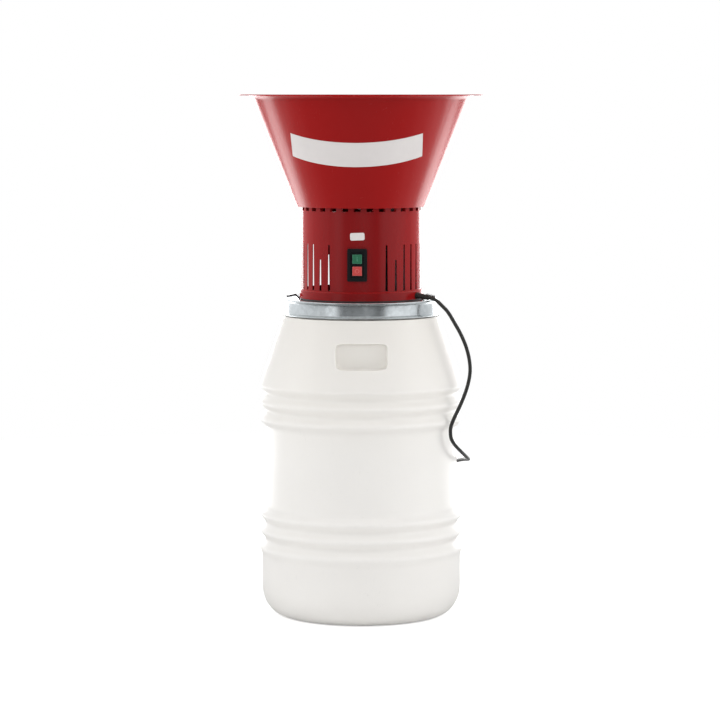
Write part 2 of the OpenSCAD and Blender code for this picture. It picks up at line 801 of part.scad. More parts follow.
module feed_duct() {
    color([0.62, 0.64, 0.64]) translate([duct_x, 0, plate_top]) linear_extrude(duct_top - plate_top)
        difference() {
            square([duct_out_w, duct_out_l], center = true);
            square([duct_w, duct_l], center = true);
        }
}

module feed_shutter() {
    color([0.7, 0.71, 0.72]) difference() {
        union() {
            translate([0, 0, shutter_low]) linear_extrude(shutter_t) difference() {
                intersection() {
                    circle(shutter_out);
                    polygon([[0, 0], for (s = [-1, -0.5, 0, 0.5, 1])
                        1.3 * shutter_out * [cos(s * shutter_half), sin(s * shutter_half)]]);
                }
                difference() {
                    circle(shutter_in);
                    translate([0, -lever_w]) square([shutter_out, 2 * lever_w]);
                }
            }
            bar(hub_r, shutter_low, shutter_t);
            rotate([0, 0, lever_rest])
                block([0, -lever_w / 2, shutter_low], [lever_end, lever_w / 2, shutter_top]);
        }
        bar(pin_bore_r, shutter_low - cut, shutter_t + 2 * cut);
    }
}

module shutter_knob() {
    half = 7;
    mid_z = (shutter_low + shutter_top) / 2;
    color([0.05, 0.05, 0.05]) rotate([0, 0, lever_rest]) difference() {
        translate([knob_at, 0, mid_z]) rotate_extrude() polygon([
            [0, -half], [knob_r - 2, -half], [knob_r, -half + 2],
            [knob_r, half - 2], [knob_r - 2, half], [0, half]]);
        block([knob_at - knob_r - cut, -lever_w / 2 - seat_gap, shutter_low - seat_gap],
            [lever_end + seat_gap, lever_w / 2 + seat_gap, shutter_top + seat_gap]);
    }
}

washer_top = shutter_low - run_gap;

module shutter_pin() {
    color([0.55, 0.55, 0.57]) union() {
        bar(hub_r - 3, hopper_floor_top, 2);
        bar(pin_r, washer_top - 4, hopper_floor_top - washer_top + 4.5);
    }
}

module shutter_washer() {
    color([0.65, 0.65, 0.67]) union() {
        tube(hub_r - 2, pin_r + seat_gap, washer_top - 1.5, 1.5);
        tube(pin_r + 2.5, pin_r + seat_gap, washer_top - 2.7, 1.3);
    }
}

// Motor

module lower_end_bell() {
    color([0.66, 0.67, 0.68]) difference() {
        union() {
            bar(motor_r, plate_top, bell_flange);
            bar(boss_r, plate_top, bearing_low_z - plate_top + bearing_w + 2);
            bar(motor_in - seat_gap, frame_z - 0.5, 3);
        }
        bar(shaft_hole_r, plate_top - cut, motor_frame_h / 2);
        bar(bearing_r + seat_gap, bearing_low_z, motor_frame_h / 2);
        motor_bolt_places() bar(bolt_r + hole_gap, plate_top - cut, 20);
    }
}

module motor_frame() {
    color([0.35, 0.37, 0.4]) tube(motor_r, motor_in, frame_z, motor_frame_h);
}

module stator_core() {
    slots = 24;
    color([0.42, 0.42, 0.44]) difference() {
        tube(motor_in - seat_gap, stator_bore_r, stator_z, stator_h);
        motor_bolt_places() bar(bolt_r + hole_gap, stator_z - cut, stator_h + 2 * cut);
        for (i = [0 : slots - 1]) turned(i * 360 / slots)
            block([stator_bore_r - 2, -1, stator_z - cut], [stator_bore_r + 5, 1, stator_z + stator_h + cut]);
    }
}

module winding(z) {
    r = stator_bore_r + 3;
    translate([0, 0, z]) rotate_extrude() polygon([
        [r, 0], [r + winding_w, 0], [r + winding_w, winding_h - 3], [r + winding_w - 3, winding_h],
        [r + 3, winding_h], [r, winding_h - 3]]);
}

module stator_windings() {
    color([0.72, 0.38, 0.16]) {
        winding(stator_z + stator_h);
        translate([0, 0, 2 * stator_z]) mirror([0, 0, 1]) winding(stator_z);
    }
}

module upper_end_bell() {
    color([0.66, 0.67, 0.68]) difference() {
        union() {
            bar(motor_r, frame_top, bell_flange);
            bar(boss_r, frame_top, bell_flange + bearing_w + 1);
            bar(motor_in - seat_gap, frame_top - 3, 3.5);
        }
        bar(shaft_hole_r, frame_top - winding_h, motor_frame_h / 2);
        bar(bearing_r + seat_gap, bearing_up_z, motor_frame_h / 2);
        bar(stator_bore_r + winding_w, frame_top - winding_h, winding_h);
        motor_bolt_places() bar(bolt_r + hole_gap, frame_top - winding_h, 2 * winding_h);
    }
}

module motor_bolts() {
    color([0.6, 0.6, 0.62]) motor_bolt_places() screw(bolt_r, bearing_up_z - cover_top, bearing_up_z);
}

module bearing_outer_races() {
    color([0.75, 0.76, 0.78]) for (z = [bearing_low_z, bearing_up_z])
        tube(bearing_r, race_split + hole_gap, z, bearing_w);
}

module bearing_inner_races() {
    color([0.8, 0.81, 0.83]) for (z = [bearing_low_z, bearing_up_z])
        tube(race_split, shaft_r + seat_gap, z, bearing_w);
}

module shaft_seal() {
    color([0.1, 0.1, 0.1]) tube(seal_r - seat_gap, shaft_r + 0.08, cover_top, plate_t);
}

module fan_cowl() {
    windows = 8;
    color([0.1, 0.1, 0.11]) difference() {
        union() {
            tube(motor_r, motor_r - cowl_t, bearing_up_z, cowl_h);
            tube(motor_r, cowl_eye_r, cowl_top - cowl_t, cowl_t);
        }
        for (i = [0 : windows - 1]) turned(i * 360 / windows)
            block([-9, -motor_r - cut, bearing_up_z + 3], [9, -motor_r + 5, bearing_up_z + 13]);
    }
}

module rotor_shaft() {
    color([0.7, 0.71, 0.73]) union() {
        bar(shaft_r, collar_z, shaft_top - collar_z);
        bar(journal_r, shaft_low, collar_z - shaft_low + 0.5);
    }
}

module rotor_core() {
    r = stator_bore_r - air_gap;
    ring = 5;
    color([0.5, 0.5, 0.52]) difference() {
        union() {
            bar(r, stator_z, stator_h);
            bar(r - 3, stator_z - ring, stator_h + 2 * ring);
        }
        bar(shaft_r + seat_gap, stator_z - ring - cut, stator_h + 2 * ring + 2 * cut);
    }
}

module cooling_fan() {
    hub = shaft_r + 4.5;
    color([0.15, 0.15, 0.16]) difference() {
        union() {
            bar(hub, fan_z, fan_h);
            bar(fan_r, fan_z, fan_plate);
            for (i = [0 : fan_blades - 1]) turned(i * 360 / fan_blades)
                block([hub - 1, -1, fan_z], [fan_r - 1, 1, fan_z + fan_h - 1]);
        }
        bar(shaft_r + seat_gap, fan_z - cut, fan_h + 2 * cut);
    }
}

// Blades

module blade_collar() {
    color([0.6, 0.61, 0.63]) tube(blade_collar_r, shaft_r + seat_gap, collar_z, blade_collar_h);
}

module blade(z) {
    tip = 10;
    half = sqrt(blade_r * blade_r - blade_w * blade_w / 4);
    color([0.62, 0.63, 0.65]) translate([0, 0, z]) linear_extrude(blade_t) difference() {
        polygon([[half, -blade_w / 2], [half, blade_w / 2 - tip], [half - tip, blade_w / 2],
            [-half, blade_w / 2], [-half, -blade_w / 2 + tip], [-half + tip, -blade_w / 2]]);
        circle(journal_r + seat_gap);
    }
}

module upper_blade() { blade(lower_blade_z + blade_t); }

module lower_blade() { rotate([0, 0, 90]) blade(lower_blade_z); }

module blade_nut() {
    color([0.75, 0.76, 0.78]) difference() {
        union() {
            bar(14, nut_top, washer_t);
            translate([0, 0, nut_top - nut_h]) cylinder(r = 12.5, h = nut_h + 0.3, $fn = 6);
        }
        bar(journal_r + seat_gap, nut_top - nut_h - cut, nut_h + washer_t + 2 * cut);
    }
}

// Electrics

module capacitor() {
    color([0.75, 0.76, 0.77]) translate([capacitor_at.x, capacitor_at.y, 0]) union() {
        bar(capacitor_r, plate_top, capacitor_h);
        bar(capacitor_r - 2, plate_top, capacitor_h + 1.5);
        for (x = [-6, 6]) translate([x, 0, plate_top + capacitor_h]) block([-3, -0.5, 0], [3, 0.5, 9]);
    }
}

module capacitor_clamp() {
    tab_turn = capacitor_turn + 90;
    color([0.2, 0.2, 0.22]) translate([capacitor_at.x, capacitor_at.y, 0]) difference() {
        union() {
            bar(capacitor_r + 2, plate_top, 12);
            rotate([0, 0, tab_turn])
                block([capacitor_r - 3, -6, plate_top], [capacitor_r + 12, 6, plate_top + 2]);
        }
        bar(capacitor_r + seat_gap, plate_top - cut, 20);
        rotate([0, 0, tab_turn]) translate([capacitor_r + 7, 0, 0]) bar(2.2, plate_top - cut, 10);
    }
}

block_poles = 4;
pole_pitch = 11;
block_deep = 16;
block_h = 20;
block_y = housing_in - 17.8 - block_deep / 2;

module terminal_block() {
    pole_r = 2.5;
    color([0.88, 0.86, 0.8]) translate([0, block_y, plate_top]) difference() {
        translate([0, 0, block_h / 2]) cube([block_poles * pole_pitch, block_deep, block_h], center = true);
        for (i = [0 : block_poles - 1]) translate([(i - (block_poles - 1) / 2) * pole_pitch, 0, 0])
            bar(pole_r, block_h - 8, block_h);
    }
}

// Leads: each point is an azimuth, a distance in from the housing's wall and a height
lead_r = 3;
function in_housing(p) = [(housing_in - p[1]) * sin(p[0]), -(housing_in - p[1]) * cos(p[0]), p[2]];
switch_low = switch_z - body_h / 2;
lead_low = switch_low - run_gap;
block_side = -block_poles * pole_pitch / 2 - run_gap;
supply_points = concat(
    [for (r = [thread_in - run_gap, thread_in - 2 * lead_r]) r * exit_dir + [0, 0, gland_z]],
    [for (p = [[55, 11.7, plate_top + 6], [43, 9, plate_top + 7], [30, 9, plate_top + 11],
        [17, 11, plate_top + 20], [8, 15, lead_low - 9], [4, 16.5, lead_low - 4],
        [4, 16.5, lead_low]]) in_housing(p)]);
motor_points = concat(
    [for (p = [[-4, 16.5, lead_low], [-4, 16.5, lead_low - 4], [-7, 17, lead_low - 9],
        [-17.5, 20.5, plate_top + 18], [-36.5, 29.4, plate_top + 8], [-61, 36, plate_top + 5],
        [-90, 37.8, plate_top + 5], [-116, 36, plate_top + 5], [-139, 31.6, plate_top + 7],
        [-153, 25, plate_top + 10]]) in_housing(p)],
    [for (x = [block_side - 2 * lead_r, block_side]) [x, block_y, plate_top + 10]]);

module inner_leads() {
    color([0.1, 0.1, 0.11]) {
        swept_tube(smooth_route(supply_points, 3), lead_r, 8);
        swept_tube(smooth_route(motor_points, 3), lead_r, 8);
    }
}

// Switch

module switch_frame() {
    color([0.06, 0.07, 0.08]) translate([0, 0, switch_z]) difference() {
        union() {
            difference() {
                front_prism(housing_r - 5, frame_out + 5) round_rect(frame_w, frame_h, 2.5);
                translate([0, 0, -frame_h]) cylinder(r = housing_r + seat_gap, h = 2 * frame_h, $fn = 360);
            }
            front_prism(body_front, frame_out) square([body_w, body_h], center = true);
        }
        front_prism(frame_face - well_deep, 10) round_rect(well_w, well_h, 1.5);
        for (s = [-1, 1]) translate([0, 0, s * button_pitch / 2]) front_prism(body_front - cut, 20)
            square([button_w + 2 * button_gap, button_h + 2 * button_gap], center = true);
    }
}

module switch_body() {
    color([0.12, 0.12, 0.13]) translate([0, 0, switch_z]) difference() {
        front_prism(body_front - body_deep, body_deep) square([body_w, body_h], center = true);
        for (s = [-1, 1]) translate([0, 0, s * button_pitch / 2]) front_prism(cavity_end, 40)
            square([button_w + 2 * button_gap, button_h + 2 * button_gap], center = true);
    }
}

// A button with a softened front edge; its mark is cut into its face
module button(z) {
    edge = 0.8;
    translate([0, 0, z]) difference() {
        union() {
            front_prism(button_back, button_len - edge) square([button_w, button_h], center = true);
            front_prism(button_back, button_len)
                square([button_w - 2 * edge, button_h - 2 * edge], center = true);
        }
        front_prism(button_face - mark_deep, 5) children();
    }
}

module start_button() {
    color([0.1, 0.45, 0.3]) button(switch_z + button_pitch / 2)
        square([mark_line, 0.5 * button_h], center = true);
}

module stop_button() {
    color([0.75, 0.1, 0.1]) button(switch_z - button_pitch / 2) difference() {
        circle(0.24 * button_h);
        circle(0.24 * button_h - mark_line);
    }
}

module button_spring(z) {
    curl = 8;
    turns = spring_turns * curl;
    run = button_back - cavity_end - 2 * spring_wire - 0.3;
    route = [for (i = [0 : turns]) [spring_r * cos(360 * i / curl),
        -cavity_end - 0.5 * spring_wire - 0.1 - run * i / turns, z + spring_r * sin(360 * i / curl)]];
    color([0.7, 0.7, 0.72]) swept_tube(route, spring_wire / 2, 6);
}

module start_spring() { button_spring(switch_z + button_pitch / 2); }

module stop_spring() { button_spring(switch_z - button_pitch / 2); }

module small_label() {
    color([0.9, 0.89, 0.87]) intersection() {
        tube(housing_r + 0.35, housing_r + 0.02, plate_top + tag_up - tag_h, 2 * tag_h);
        translate([0, 0, plate_top + tag_up]) rotate([0, -tag_tilt, 0]) front_prism(housing_r - 8, 16)
            round_rect(tag_w, tag_h, 3);
    }
}

// Grinding chamber

module sieve() {
    row_step = (sieve_h - 10) / sieve_rows;
    color([0.7, 0.71, 0.72]) difference() {
        tube(sieve_r + sieve_t, sieve_r, chamber_floor_top, sieve_h);
        for (j = [0 : sieve_rows - 1], i = [0 : sieve_holes - 1])
            turned((i + 0.5 * (j % 2)) * 360 / sieve_holes)
                translate([0, -sieve_r + 5, chamber_floor_top + 5 + (j + 0.5) * row_step]) rotate([90, 0, 0])
                    cylinder(r = sieve_hole_r, h = 12);
    }
}

module chamber_floor() {
    color([0.6, 0.61, 0.62]) difference() {
        union() {
            bar(floor_r, chamber_floor_low, floor_t);
            tube(sieve_r - seat_gap, sieve_r - 2.5, chamber_floor_top - 0.5, 4.5);
        }
        chamber_stud_places() bar(stud_r + hole_gap, chamber_floor_low - cut, floor_t + 2 * cut);
    }
}

module chamber_studs() {
    color([0.6, 0.6, 0.62]) chamber_stud_places() union() {
        bar(stud_r, stud_low, plate_top - stud_low + 0.5);
        translate([0, 0, plate_top]) cylinder(r = stud_head_r, h = stud_head_h, $fn = 6);
    }
}

module wing_nuts() {
    color([0.72, 0.72, 0.74]) chamber_stud_places() difference() {
        union() {
            bar(6, chamber_floor_low - wing_h, wing_h);
            rotate([90, 0, 0]) linear_extrude(2.5, center = true) for (s = [-1, 1]) polygon([
                [s * 3.5, chamber_floor_low - 1], [s * 3.5, chamber_floor_low - wing_h],
                [s * 11, chamber_floor_low - wing_h - 5], [s * 14, chamber_floor_low - wing_h - 3],
                [s * 13, chamber_floor_low - 4]]);
        }
        bar(stud_r + seat_gap, chamber_floor_low - wing_h - cut, wing_h + 2 * cut);
    }
}

// Cord

module along_exit(r0) {
    turned(gland_azimuth) translate([0, -r0, gland_z]) rotate([90, 0, 0]) children();
}

module gland_hole() {
    along_exit(thread_in - cut) cylinder(r = gland_thread_r + seat_gap, h = collar_r - thread_in + 2 * cut);
}

module along_relief(s) {
    turned(gland_azimuth) translate([0, -relief_at, gland_z]) rotate([90 + relief_droop, 0, 0])
        translate([0, 0, s]) children();
}

module cord_gland() {
    rings = 4;
    relief_r = gland_flange_r - 1.2;
    color([0.08, 0.08, 0.08]) union() {
        along_exit(thread_in) cylinder(r = gland_thread_r, h = collar_r - thread_in + 1);
        along_exit(collar_r) cylinder(r = gland_flange_r, h = gland_flange);
        along_relief(-1) cylinder(r1 = relief_r, r2 = cord_d / 2 + 0.8, h = relief_len + 1);
        for (i = [0 : rings - 1]) along_relief(3 + i * relief_len / rings)
            cylinder(r = relief_r + 0.5 - 0.2 * i, h = 2.2);
    }
}

module gland_nut() {
    color([0.12, 0.12, 0.12]) difference() {
        along_exit(housing_in - 0.4 - nut_len) cylinder(r = gland_nut_r, h = nut_len, $fn = 6);
        gland_hole();
    }
}

module cord() {
    color([0.05, 0.05, 0.05]) swept_tube(smooth_route(cord_points, 2), cord_d / 2, cord_sides);
}

// Coil: inwards along the lower layer, up in the half turn where it reverses, outwards on top
function coil_radius(t) = let (flip = t - coil_turns_in, back = coil_turns - t)
    flip < 0 ? coil_r - coil_pitch * t
    : flip < coil_turns_flip ? coil_r - coil_pitch * (coil_turns_in + flip - flip * flip / coil_turns_flip)
    : coil_r - coil_pitch * back;
function coil_height(t) = coil_layer_z
    + coil_pitch * max(0, min(1, (t - coil_turns_in) / coil_turns_flip));
coil_loops = [for (i = [0 : coil_turns * coil_rings]) let (t = i / coil_rings, a = -90 - 360 * t)
    [coil_at.x + coil_radius(t) * cos(a), coil_at.y + coil_radius(t) * sin(a), coil_height(t)]];
coil_end = coil_loops[len(coil_loops) - 1] + [-tail_run, 0, 0];
plug_dir = [-cos(plug_tilt), 0, sin(plug_tilt)];
plug_start = coil_end + straight_run * plug_dir;
coil_route = concat([coil_start + [cord_d, 0, 0]], coil_loops, [coil_end, plug_start]);
coil_gap = min([for (i = [0 : len(coil_loops) - 1], j = [i + coil_rings / 2 : len(coil_loops) - 1])
    norm(coil_loops[i] - coil_loops[j])]) - cord_d;
echo(least_gap_in_coil = coil_gap);

module cord_coil() {
    color([0.05, 0.05, 0.05]) swept_tube(coil_route, cord_d / 2, 6);
}

module coil_tie() {
    side_gap = 1;
    top_gap = 0.4;
    band = 1;
    inner_w = coil_pitch * coil_turns_in + cord_d + 2 * side_gap;
    inner_h = coil_pitch + cord_d + 2 * top_gap;
    mid_r = coil_r - coil_pitch * coil_turns_in / 2;
    color([0.1, 0.1, 0.1]) translate([coil_at.x + mid_r, coil_at.y, coil_layer_z + coil_pitch / 2])
        rotate([90, 0, 0]) linear_extrude(10, center = true) difference() {
            round_rect(inner_w + 2 * band, inner_h + 2 * band, 3);
            round_rect(inner_w, inner_h, 2);
        }
}

// Plug: strain relief, grip, round face
plug_tail = 26;
plug_grip = 30;
plug_face_r = 18.2;
plug_face = 8;

module along_plug(s) {
    translate(plug_start) rotate([0, -90 + plug_tilt, 0]) translate([0, 0, s]) children();
}

module plug() {
    color([0.06, 0.06, 0.06]) union() {
        along_plug(0) cylinder(r1 = cord_d / 2 + 1, r2 = 8, h = plug_tail + 0.5);
        along_plug(plug_tail) cylinder(r1 = 11, r2 = 14, h = plug_grip + 0.5);
        along_plug(plug_tail + plug_grip) cylinder(r = plug_face_r, h = plug_face);
    }
}

module plug_pins() {
    color([0.75, 0.72, 0.6]) for (y = [-9.5, 9.5]) translate(plug_start) rotate([0, -90 + plug_tilt, 0])
        translate([0, y, plug_tail + plug_grip + plug_face]) cylinder(r = 2.4, h = 19);
}

drum_body();
drum_shoulder();
drum_neck();
mouth_gasket();
drum_cover();
cover_band();
base_plate();
base_screws();
housing();
vent_ring();
hopper();
hopper_screws();
hopper_label();
feed_funnel();
feed_duct();
feed_shutter();
shutter_knob();
shutter_pin();
shutter_washer();
motor_frame();
stator_core();
stator_windings();
lower_end_bell();
upper_end_bell();
motor_bolts();
bearing_outer_races();
bearing_inner_races();
shaft_seal();
fan_cowl();
cooling_fan();
rotor_core();
rotor_shaft();
blade_collar();
upper_blade();
lower_blade();
blade_nut();
capacitor();
capacitor_clamp();
terminal_block();
inner_leads();
switch_frame();
switch_body();
start_button();
stop_button();
start_spring();
stop_spring();
small_label();
sieve();
chamber_floor();
chamber_studs();
wing_nuts();
cord_gland();
gland_nut();
cord();
cord_coil();
coil_tie();
plug();
plug_pins();
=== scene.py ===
"""Electric grain mill on its drum: visible pieces, finishes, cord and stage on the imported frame."""
import math

import bmesh
import bpy
from mathutils import Matrix, Vector


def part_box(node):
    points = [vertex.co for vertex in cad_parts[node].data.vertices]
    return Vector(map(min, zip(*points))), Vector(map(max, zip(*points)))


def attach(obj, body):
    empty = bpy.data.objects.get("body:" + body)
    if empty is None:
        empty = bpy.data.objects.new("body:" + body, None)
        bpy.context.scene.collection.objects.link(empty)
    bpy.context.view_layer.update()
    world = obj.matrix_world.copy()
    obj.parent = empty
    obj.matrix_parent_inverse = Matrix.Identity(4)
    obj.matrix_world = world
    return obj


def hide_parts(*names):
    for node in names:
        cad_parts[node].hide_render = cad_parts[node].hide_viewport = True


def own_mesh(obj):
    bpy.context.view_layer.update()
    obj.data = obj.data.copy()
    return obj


bl_info = {
    "name": "Electric Grain Mill",
    "version": (1, 0, 0),
    "blender": (4, 5, 0),
    "location": "3D Viewport > Sidebar > Mill",
    "description": "Builds the grain mill's pieces, finishes and stage on its packed frame",
    "category": "Object",
}

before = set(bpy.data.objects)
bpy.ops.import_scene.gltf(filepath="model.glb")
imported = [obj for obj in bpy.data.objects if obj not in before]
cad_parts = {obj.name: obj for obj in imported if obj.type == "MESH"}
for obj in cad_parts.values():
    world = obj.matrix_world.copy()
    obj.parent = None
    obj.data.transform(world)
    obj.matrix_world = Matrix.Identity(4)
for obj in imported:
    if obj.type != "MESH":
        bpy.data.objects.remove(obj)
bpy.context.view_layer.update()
MM = 0.001


# Settings that a user would change

def length(name, description, millimetres):
    return bpy.props.FloatProperty(name=name, description=description, default=millimetres * MM,
                                   unit="LENGTH", precision=4)


def degrees(name, description, value):
    return bpy.props.FloatProperty(name=name, description=description, default=math.radians(value),
                                   subtype="ANGLE")


def colour(name, description, red, green, blue):
    return bpy.props.FloatVectorProperty(name=name, description=description, size=3, min=0.0, max=1.0,
                                         default=(red, green, blue), subtype="COLOR")


def share(name, description, value):
    return bpy.props.FloatProperty(name=name, description=description, default=value, min=0.0, max=1.0,
                                   subtype="FACTOR")


class MillDrumSizes(bpy.types.PropertyGroup):
    height: length("Height", "From the floor to the drum's mouth", 598.0)
    wall_radius: length("Wall radius", "Straight wall between the two groups of ribs", 182.5)
    body_radius: length("Body radius", "Body below the lower ribs", 189.4)
    rib_radius: length("Rib radius", "Tips of the ribs", 193.4)
    groove_radius: length("Groove radius", "Grooves between the ribs", 183.0)
    low_rib: length("Lowest rib", "Height of the lowest rib's tip", 130.0)
    upper_rib: length("Upper ribs", "Height of the first rib's tip in the upper group", 377.0)
    rib_pitch: length("Rib pitch", "From one rib's tip to the next", 32.0)
    ledge_radius: length("Ledge radius", "Where the shoulder ends", 148.0)
    neck_radius: length("Neck radius", "Outside of the neck", 137.0)
    neck_height: length("Neck height", "Neck above the ledge", 26.0)
    foot_radius: length("Foot radius", "Outer radius of the foot ring", 146.0)
    foot_edge: length("Foot edge", "Height of the rounded edge above the foot ring", 54.0)
    wall: length("Wall", "Thickness of the moulding", 3.0)
    grip_width: length("Grip width", "Width of a hand grip pocket", 99.0)
    grip_height: length("Grip height", "Height of a hand grip pocket", 50.0)
    grip_low: length("Grip's lower edge", "Height of a pocket's lower edge", 481.0)
    grip_floor: length("Grip floor", "From the axis to the floor of a pocket", 148.0)
    turn: degrees("Turn", "Angle of the drum from the mill's front", 4.0)


class MillCoverSizes(bpy.types.PropertyGroup):
    radius: length("Band radius", "Outside of the cover's band", 142.0)
    hole_radius: length("Hole radius", "Opening over the chamber", 110.0)
    lip_radius: length("Lip radius", "Outside of the bead and the lower lip", 148.0)
    top: length("Top", "Height of the cover's flat top", 603.0)
    height: length("Height", "From the lower lip to the top", 29.5)
    sheet: length("Sheet", "Thickness of the sheet", 1.5)
    bead: length("Bead", "Radius of the rolled bead", 2.3)
    lip: length("Lip", "Radius of the rolled lip", 1.7)


class MillCordSizes(bpy.types.PropertyGroup):
    diameter: length("Diameter", "Outside of the sheath", 7.0)
    coil_radius: length("Coil radius", "Middle of the coil's outermost turn", 47.0)
    coil_pitch: length("Coil pitch", "From one turn to the next", 7.7)


class MillColours(bpy.types.PropertyGroup):
    drum: colour("Drum", "Natural blow-moulded plastic", 0.90, 0.88, 0.845)
    hopper: colour("Hopper", "Red hopper enamel", 0.20, 0.002, 0.002)
    # The housing's red is the hopper's enamel made darker: painted shade from the hopper above
    housing: colour("Housing", "Red enamel of the motor housing", 0.07, 0.002, 0.003)
    zinc: colour("Zinc", "Galvanised cover", 0.76, 0.80, 0.81)
    black: colour("Black", "Black mouldings", 0.006, 0.007, 0.008)
    # Black enamel with a red cast: the red is a painted reflection of the red housing
    black_enamel: colour("Black enamel", "Base plate, fan cowl and clamp", 0.024, 0.014, 0.014)
    start: colour("Start button", "Green moulding", 0.012, 0.13, 0.06)
    start_mark: colour("Start mark", "Bar in the start button", 0.10, 0.36, 0.24)
    stop: colour("Stop button", "Red moulding", 0.50, 0.045, 0.04)
    stop_mark: colour("Stop mark", "Ring in the stop button", 0.70, 0.16, 0.15)
    label: colour("Labels", "Bare off-white film", 0.66, 0.63, 0.62)
    cord: colour("Cord", "Black sheath", 0.022, 0.022, 0.020)
    copper: colour("Windings", "Varnished copper wire", 0.42, 0.13, 0.04)


class MillWear(bpy.types.PropertyGroup):
    dust: share("Dust", "Meal dust settled on faces that look up", 0.35)
    scuffs: share("Scuffs", "Fine scratches on the mouldings and the enamel", 0.4)
    edges: share("Edges", "Wear along the edges", 0.5)


class MillStage(bpy.types.PropertyGroup):
    camera_azimuth: degrees("Azimuth", "Camera's turn about the mill", 3.8)
    camera_distance: length("Distance", "From the mill's axis to the camera", 5600.0)
    camera_height: length("Height", "Height of the camera above the floor", 990.0)
    camera_tilt: degrees("Tilt", "Camera's tilt below the horizon", 5.143)
    lens: bpy.props.FloatProperty(name="Lens", description="Focal length", default=147.5, min=20.0,
                                  subtype="DISTANCE_CAMERA")
    daylight: share("Surrounding light", "Strength of the light from all round", 0.6)


# Shapes: half-sections are lists of (radius, height), turned about the mill's axis

def arc(centre, radius, start, end, steps):
    """Points on an arc from one angle to another, in degrees from the outward direction."""
    angles = [math.radians(start + (end - start) * i / steps) for i in range(steps + 1)]
    return [(centre[0] + radius * math.cos(a), centre[1] + radius * math.sin(a)) for a in angles]


def rounded(corners, steps=4):
    """Half-section through the corners; a corner with a third number is rounded to that radius."""
    path = []
    for i, corner in enumerate(corners):
        here = Vector(corner[:2])
        if len(corner) < 3 or i in (0, len(corners) - 1):
            path.append(tuple(here))
            continue
        back = Vector(corners[i - 1][:2]) - here
        ahead = Vector(corners[i + 1][:2]) - here
        half = back.angle(ahead) / 2
        reach = min(corner[2] / math.tan(half), 0.48 * back.length, 0.48 * ahead.length)
        middle = here + (back.normalized() + ahead.normalized()).normalized() * reach / math.cos(half)
        first = here + back.normalized() * reach - middle
        last = here + ahead.normalized() * reach - middle
        sweep = first.angle(last)
        for step in range(steps + 1):
            t = step / steps
            turned = (first * math.sin((1 - t) * sweep) + last * math.sin(t * sweep)) / math.sin(sweep)
            path.append(tuple(middle + turned))
    return path


def spun(section, steps, closed=False):
    """Turn a half-section about the axis into a skin whose faces point outwards."""
    shape = bmesh.new()
    ring = [shape.verts.new((radius, 0.0, height)) for radius, height in section]
    edges = [shape.edges.new(pair) for pair in zip(ring, ring[1:])]
    if closed:
        edges.append(shape.edges.new((ring[-1], ring[0])))
    bmesh.ops.spin(shape, geom=ring + edges, cent=(0, 0, 0), axis=(0, 0, 1), angle=math.tau,
                   steps=steps, use_merge=True)
    bmesh.ops.remove_doubles(shape, verts=shape.verts, dist=1e-6)
    bmesh.ops.recalc_face_normals(shape, faces=shape.faces)
    return shape


def placed(name, data):
    """Put a shape, curve, lamp or camera in the scene as an object."""
    if isinstance(data, bmesh.types.BMesh):
        shape, data = data, bpy.data.meshes.new(name)
        shape.to_mesh(data)
        shape.free()
    made = bpy.data.objects.new(name, data)
    bpy.context.scene.collection.objects.link(made)
    return made


def piece(name, shape, body, finish, nodes, sharp):
    """Make an object from a shape, with its finish, its body and the nodes that it stands for."""
    made = placed(name, shape)
    made.data.shade_smooth()
    made.data.set_sharp_from_angle(angle=math.radians(sharp))
    made.data.materials.append(finish)
    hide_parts(*nodes)
    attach(made, body)
    return made


# Faces that meet under the first bend are one flat face, and a bend over the second is a hard edge
FLAT_BEND = math.radians(0.6)
HARD_BEND = math.radians(32.0)


def merged_copy(node):
    """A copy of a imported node's mesh with its loose triangles merged into flat faces."""
    shape = bmesh.new()
    shape.from_mesh(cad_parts[node].data)
    bmesh.ops.remove_doubles(shape, verts=shape.verts, dist=2e-6)
    bmesh.ops.dissolve_limit(shape, angle_limit=FLAT_BEND, verts=shape.verts, edges=shape.edges)
    return shape


def softened(node, body, finish, width, segments=2):
    """The node's own shape with its hard edges rounded, as pressing and moulding leave them."""
    shape = merged_copy(node)
    hard = [edge for edge in shape.edges
            if len(edge.link_faces) == 2 and edge.calc_face_angle() > HARD_BEND]
    bmesh.ops.bevel(shape, geom=hard, offset=width, offset_type="OFFSET", segments=segments, profile=0.5,
                    affect="EDGES", clamp_overlap=True, material=-1)
    made = piece(node + "_finished", shape, body, finish, [node], sharp=40.0)
    even = made.modifiers.new("Even shading", "WEIGHTED_NORMAL")
    even.keep_sharp = True
    return made


def soften_all(body, *parts):
    """Soften nodes of one body: each with its finish, width in millimetres and perhaps segments."""
    return [softened(node, body, finish, width * MM, *more) for node, finish, width, *more in parts]


def dress(finish, *nodes):
    """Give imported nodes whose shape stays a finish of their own."""
    for node in nodes:
        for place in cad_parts[node].material_slots:
            place.material = finish


# Nodes and effects

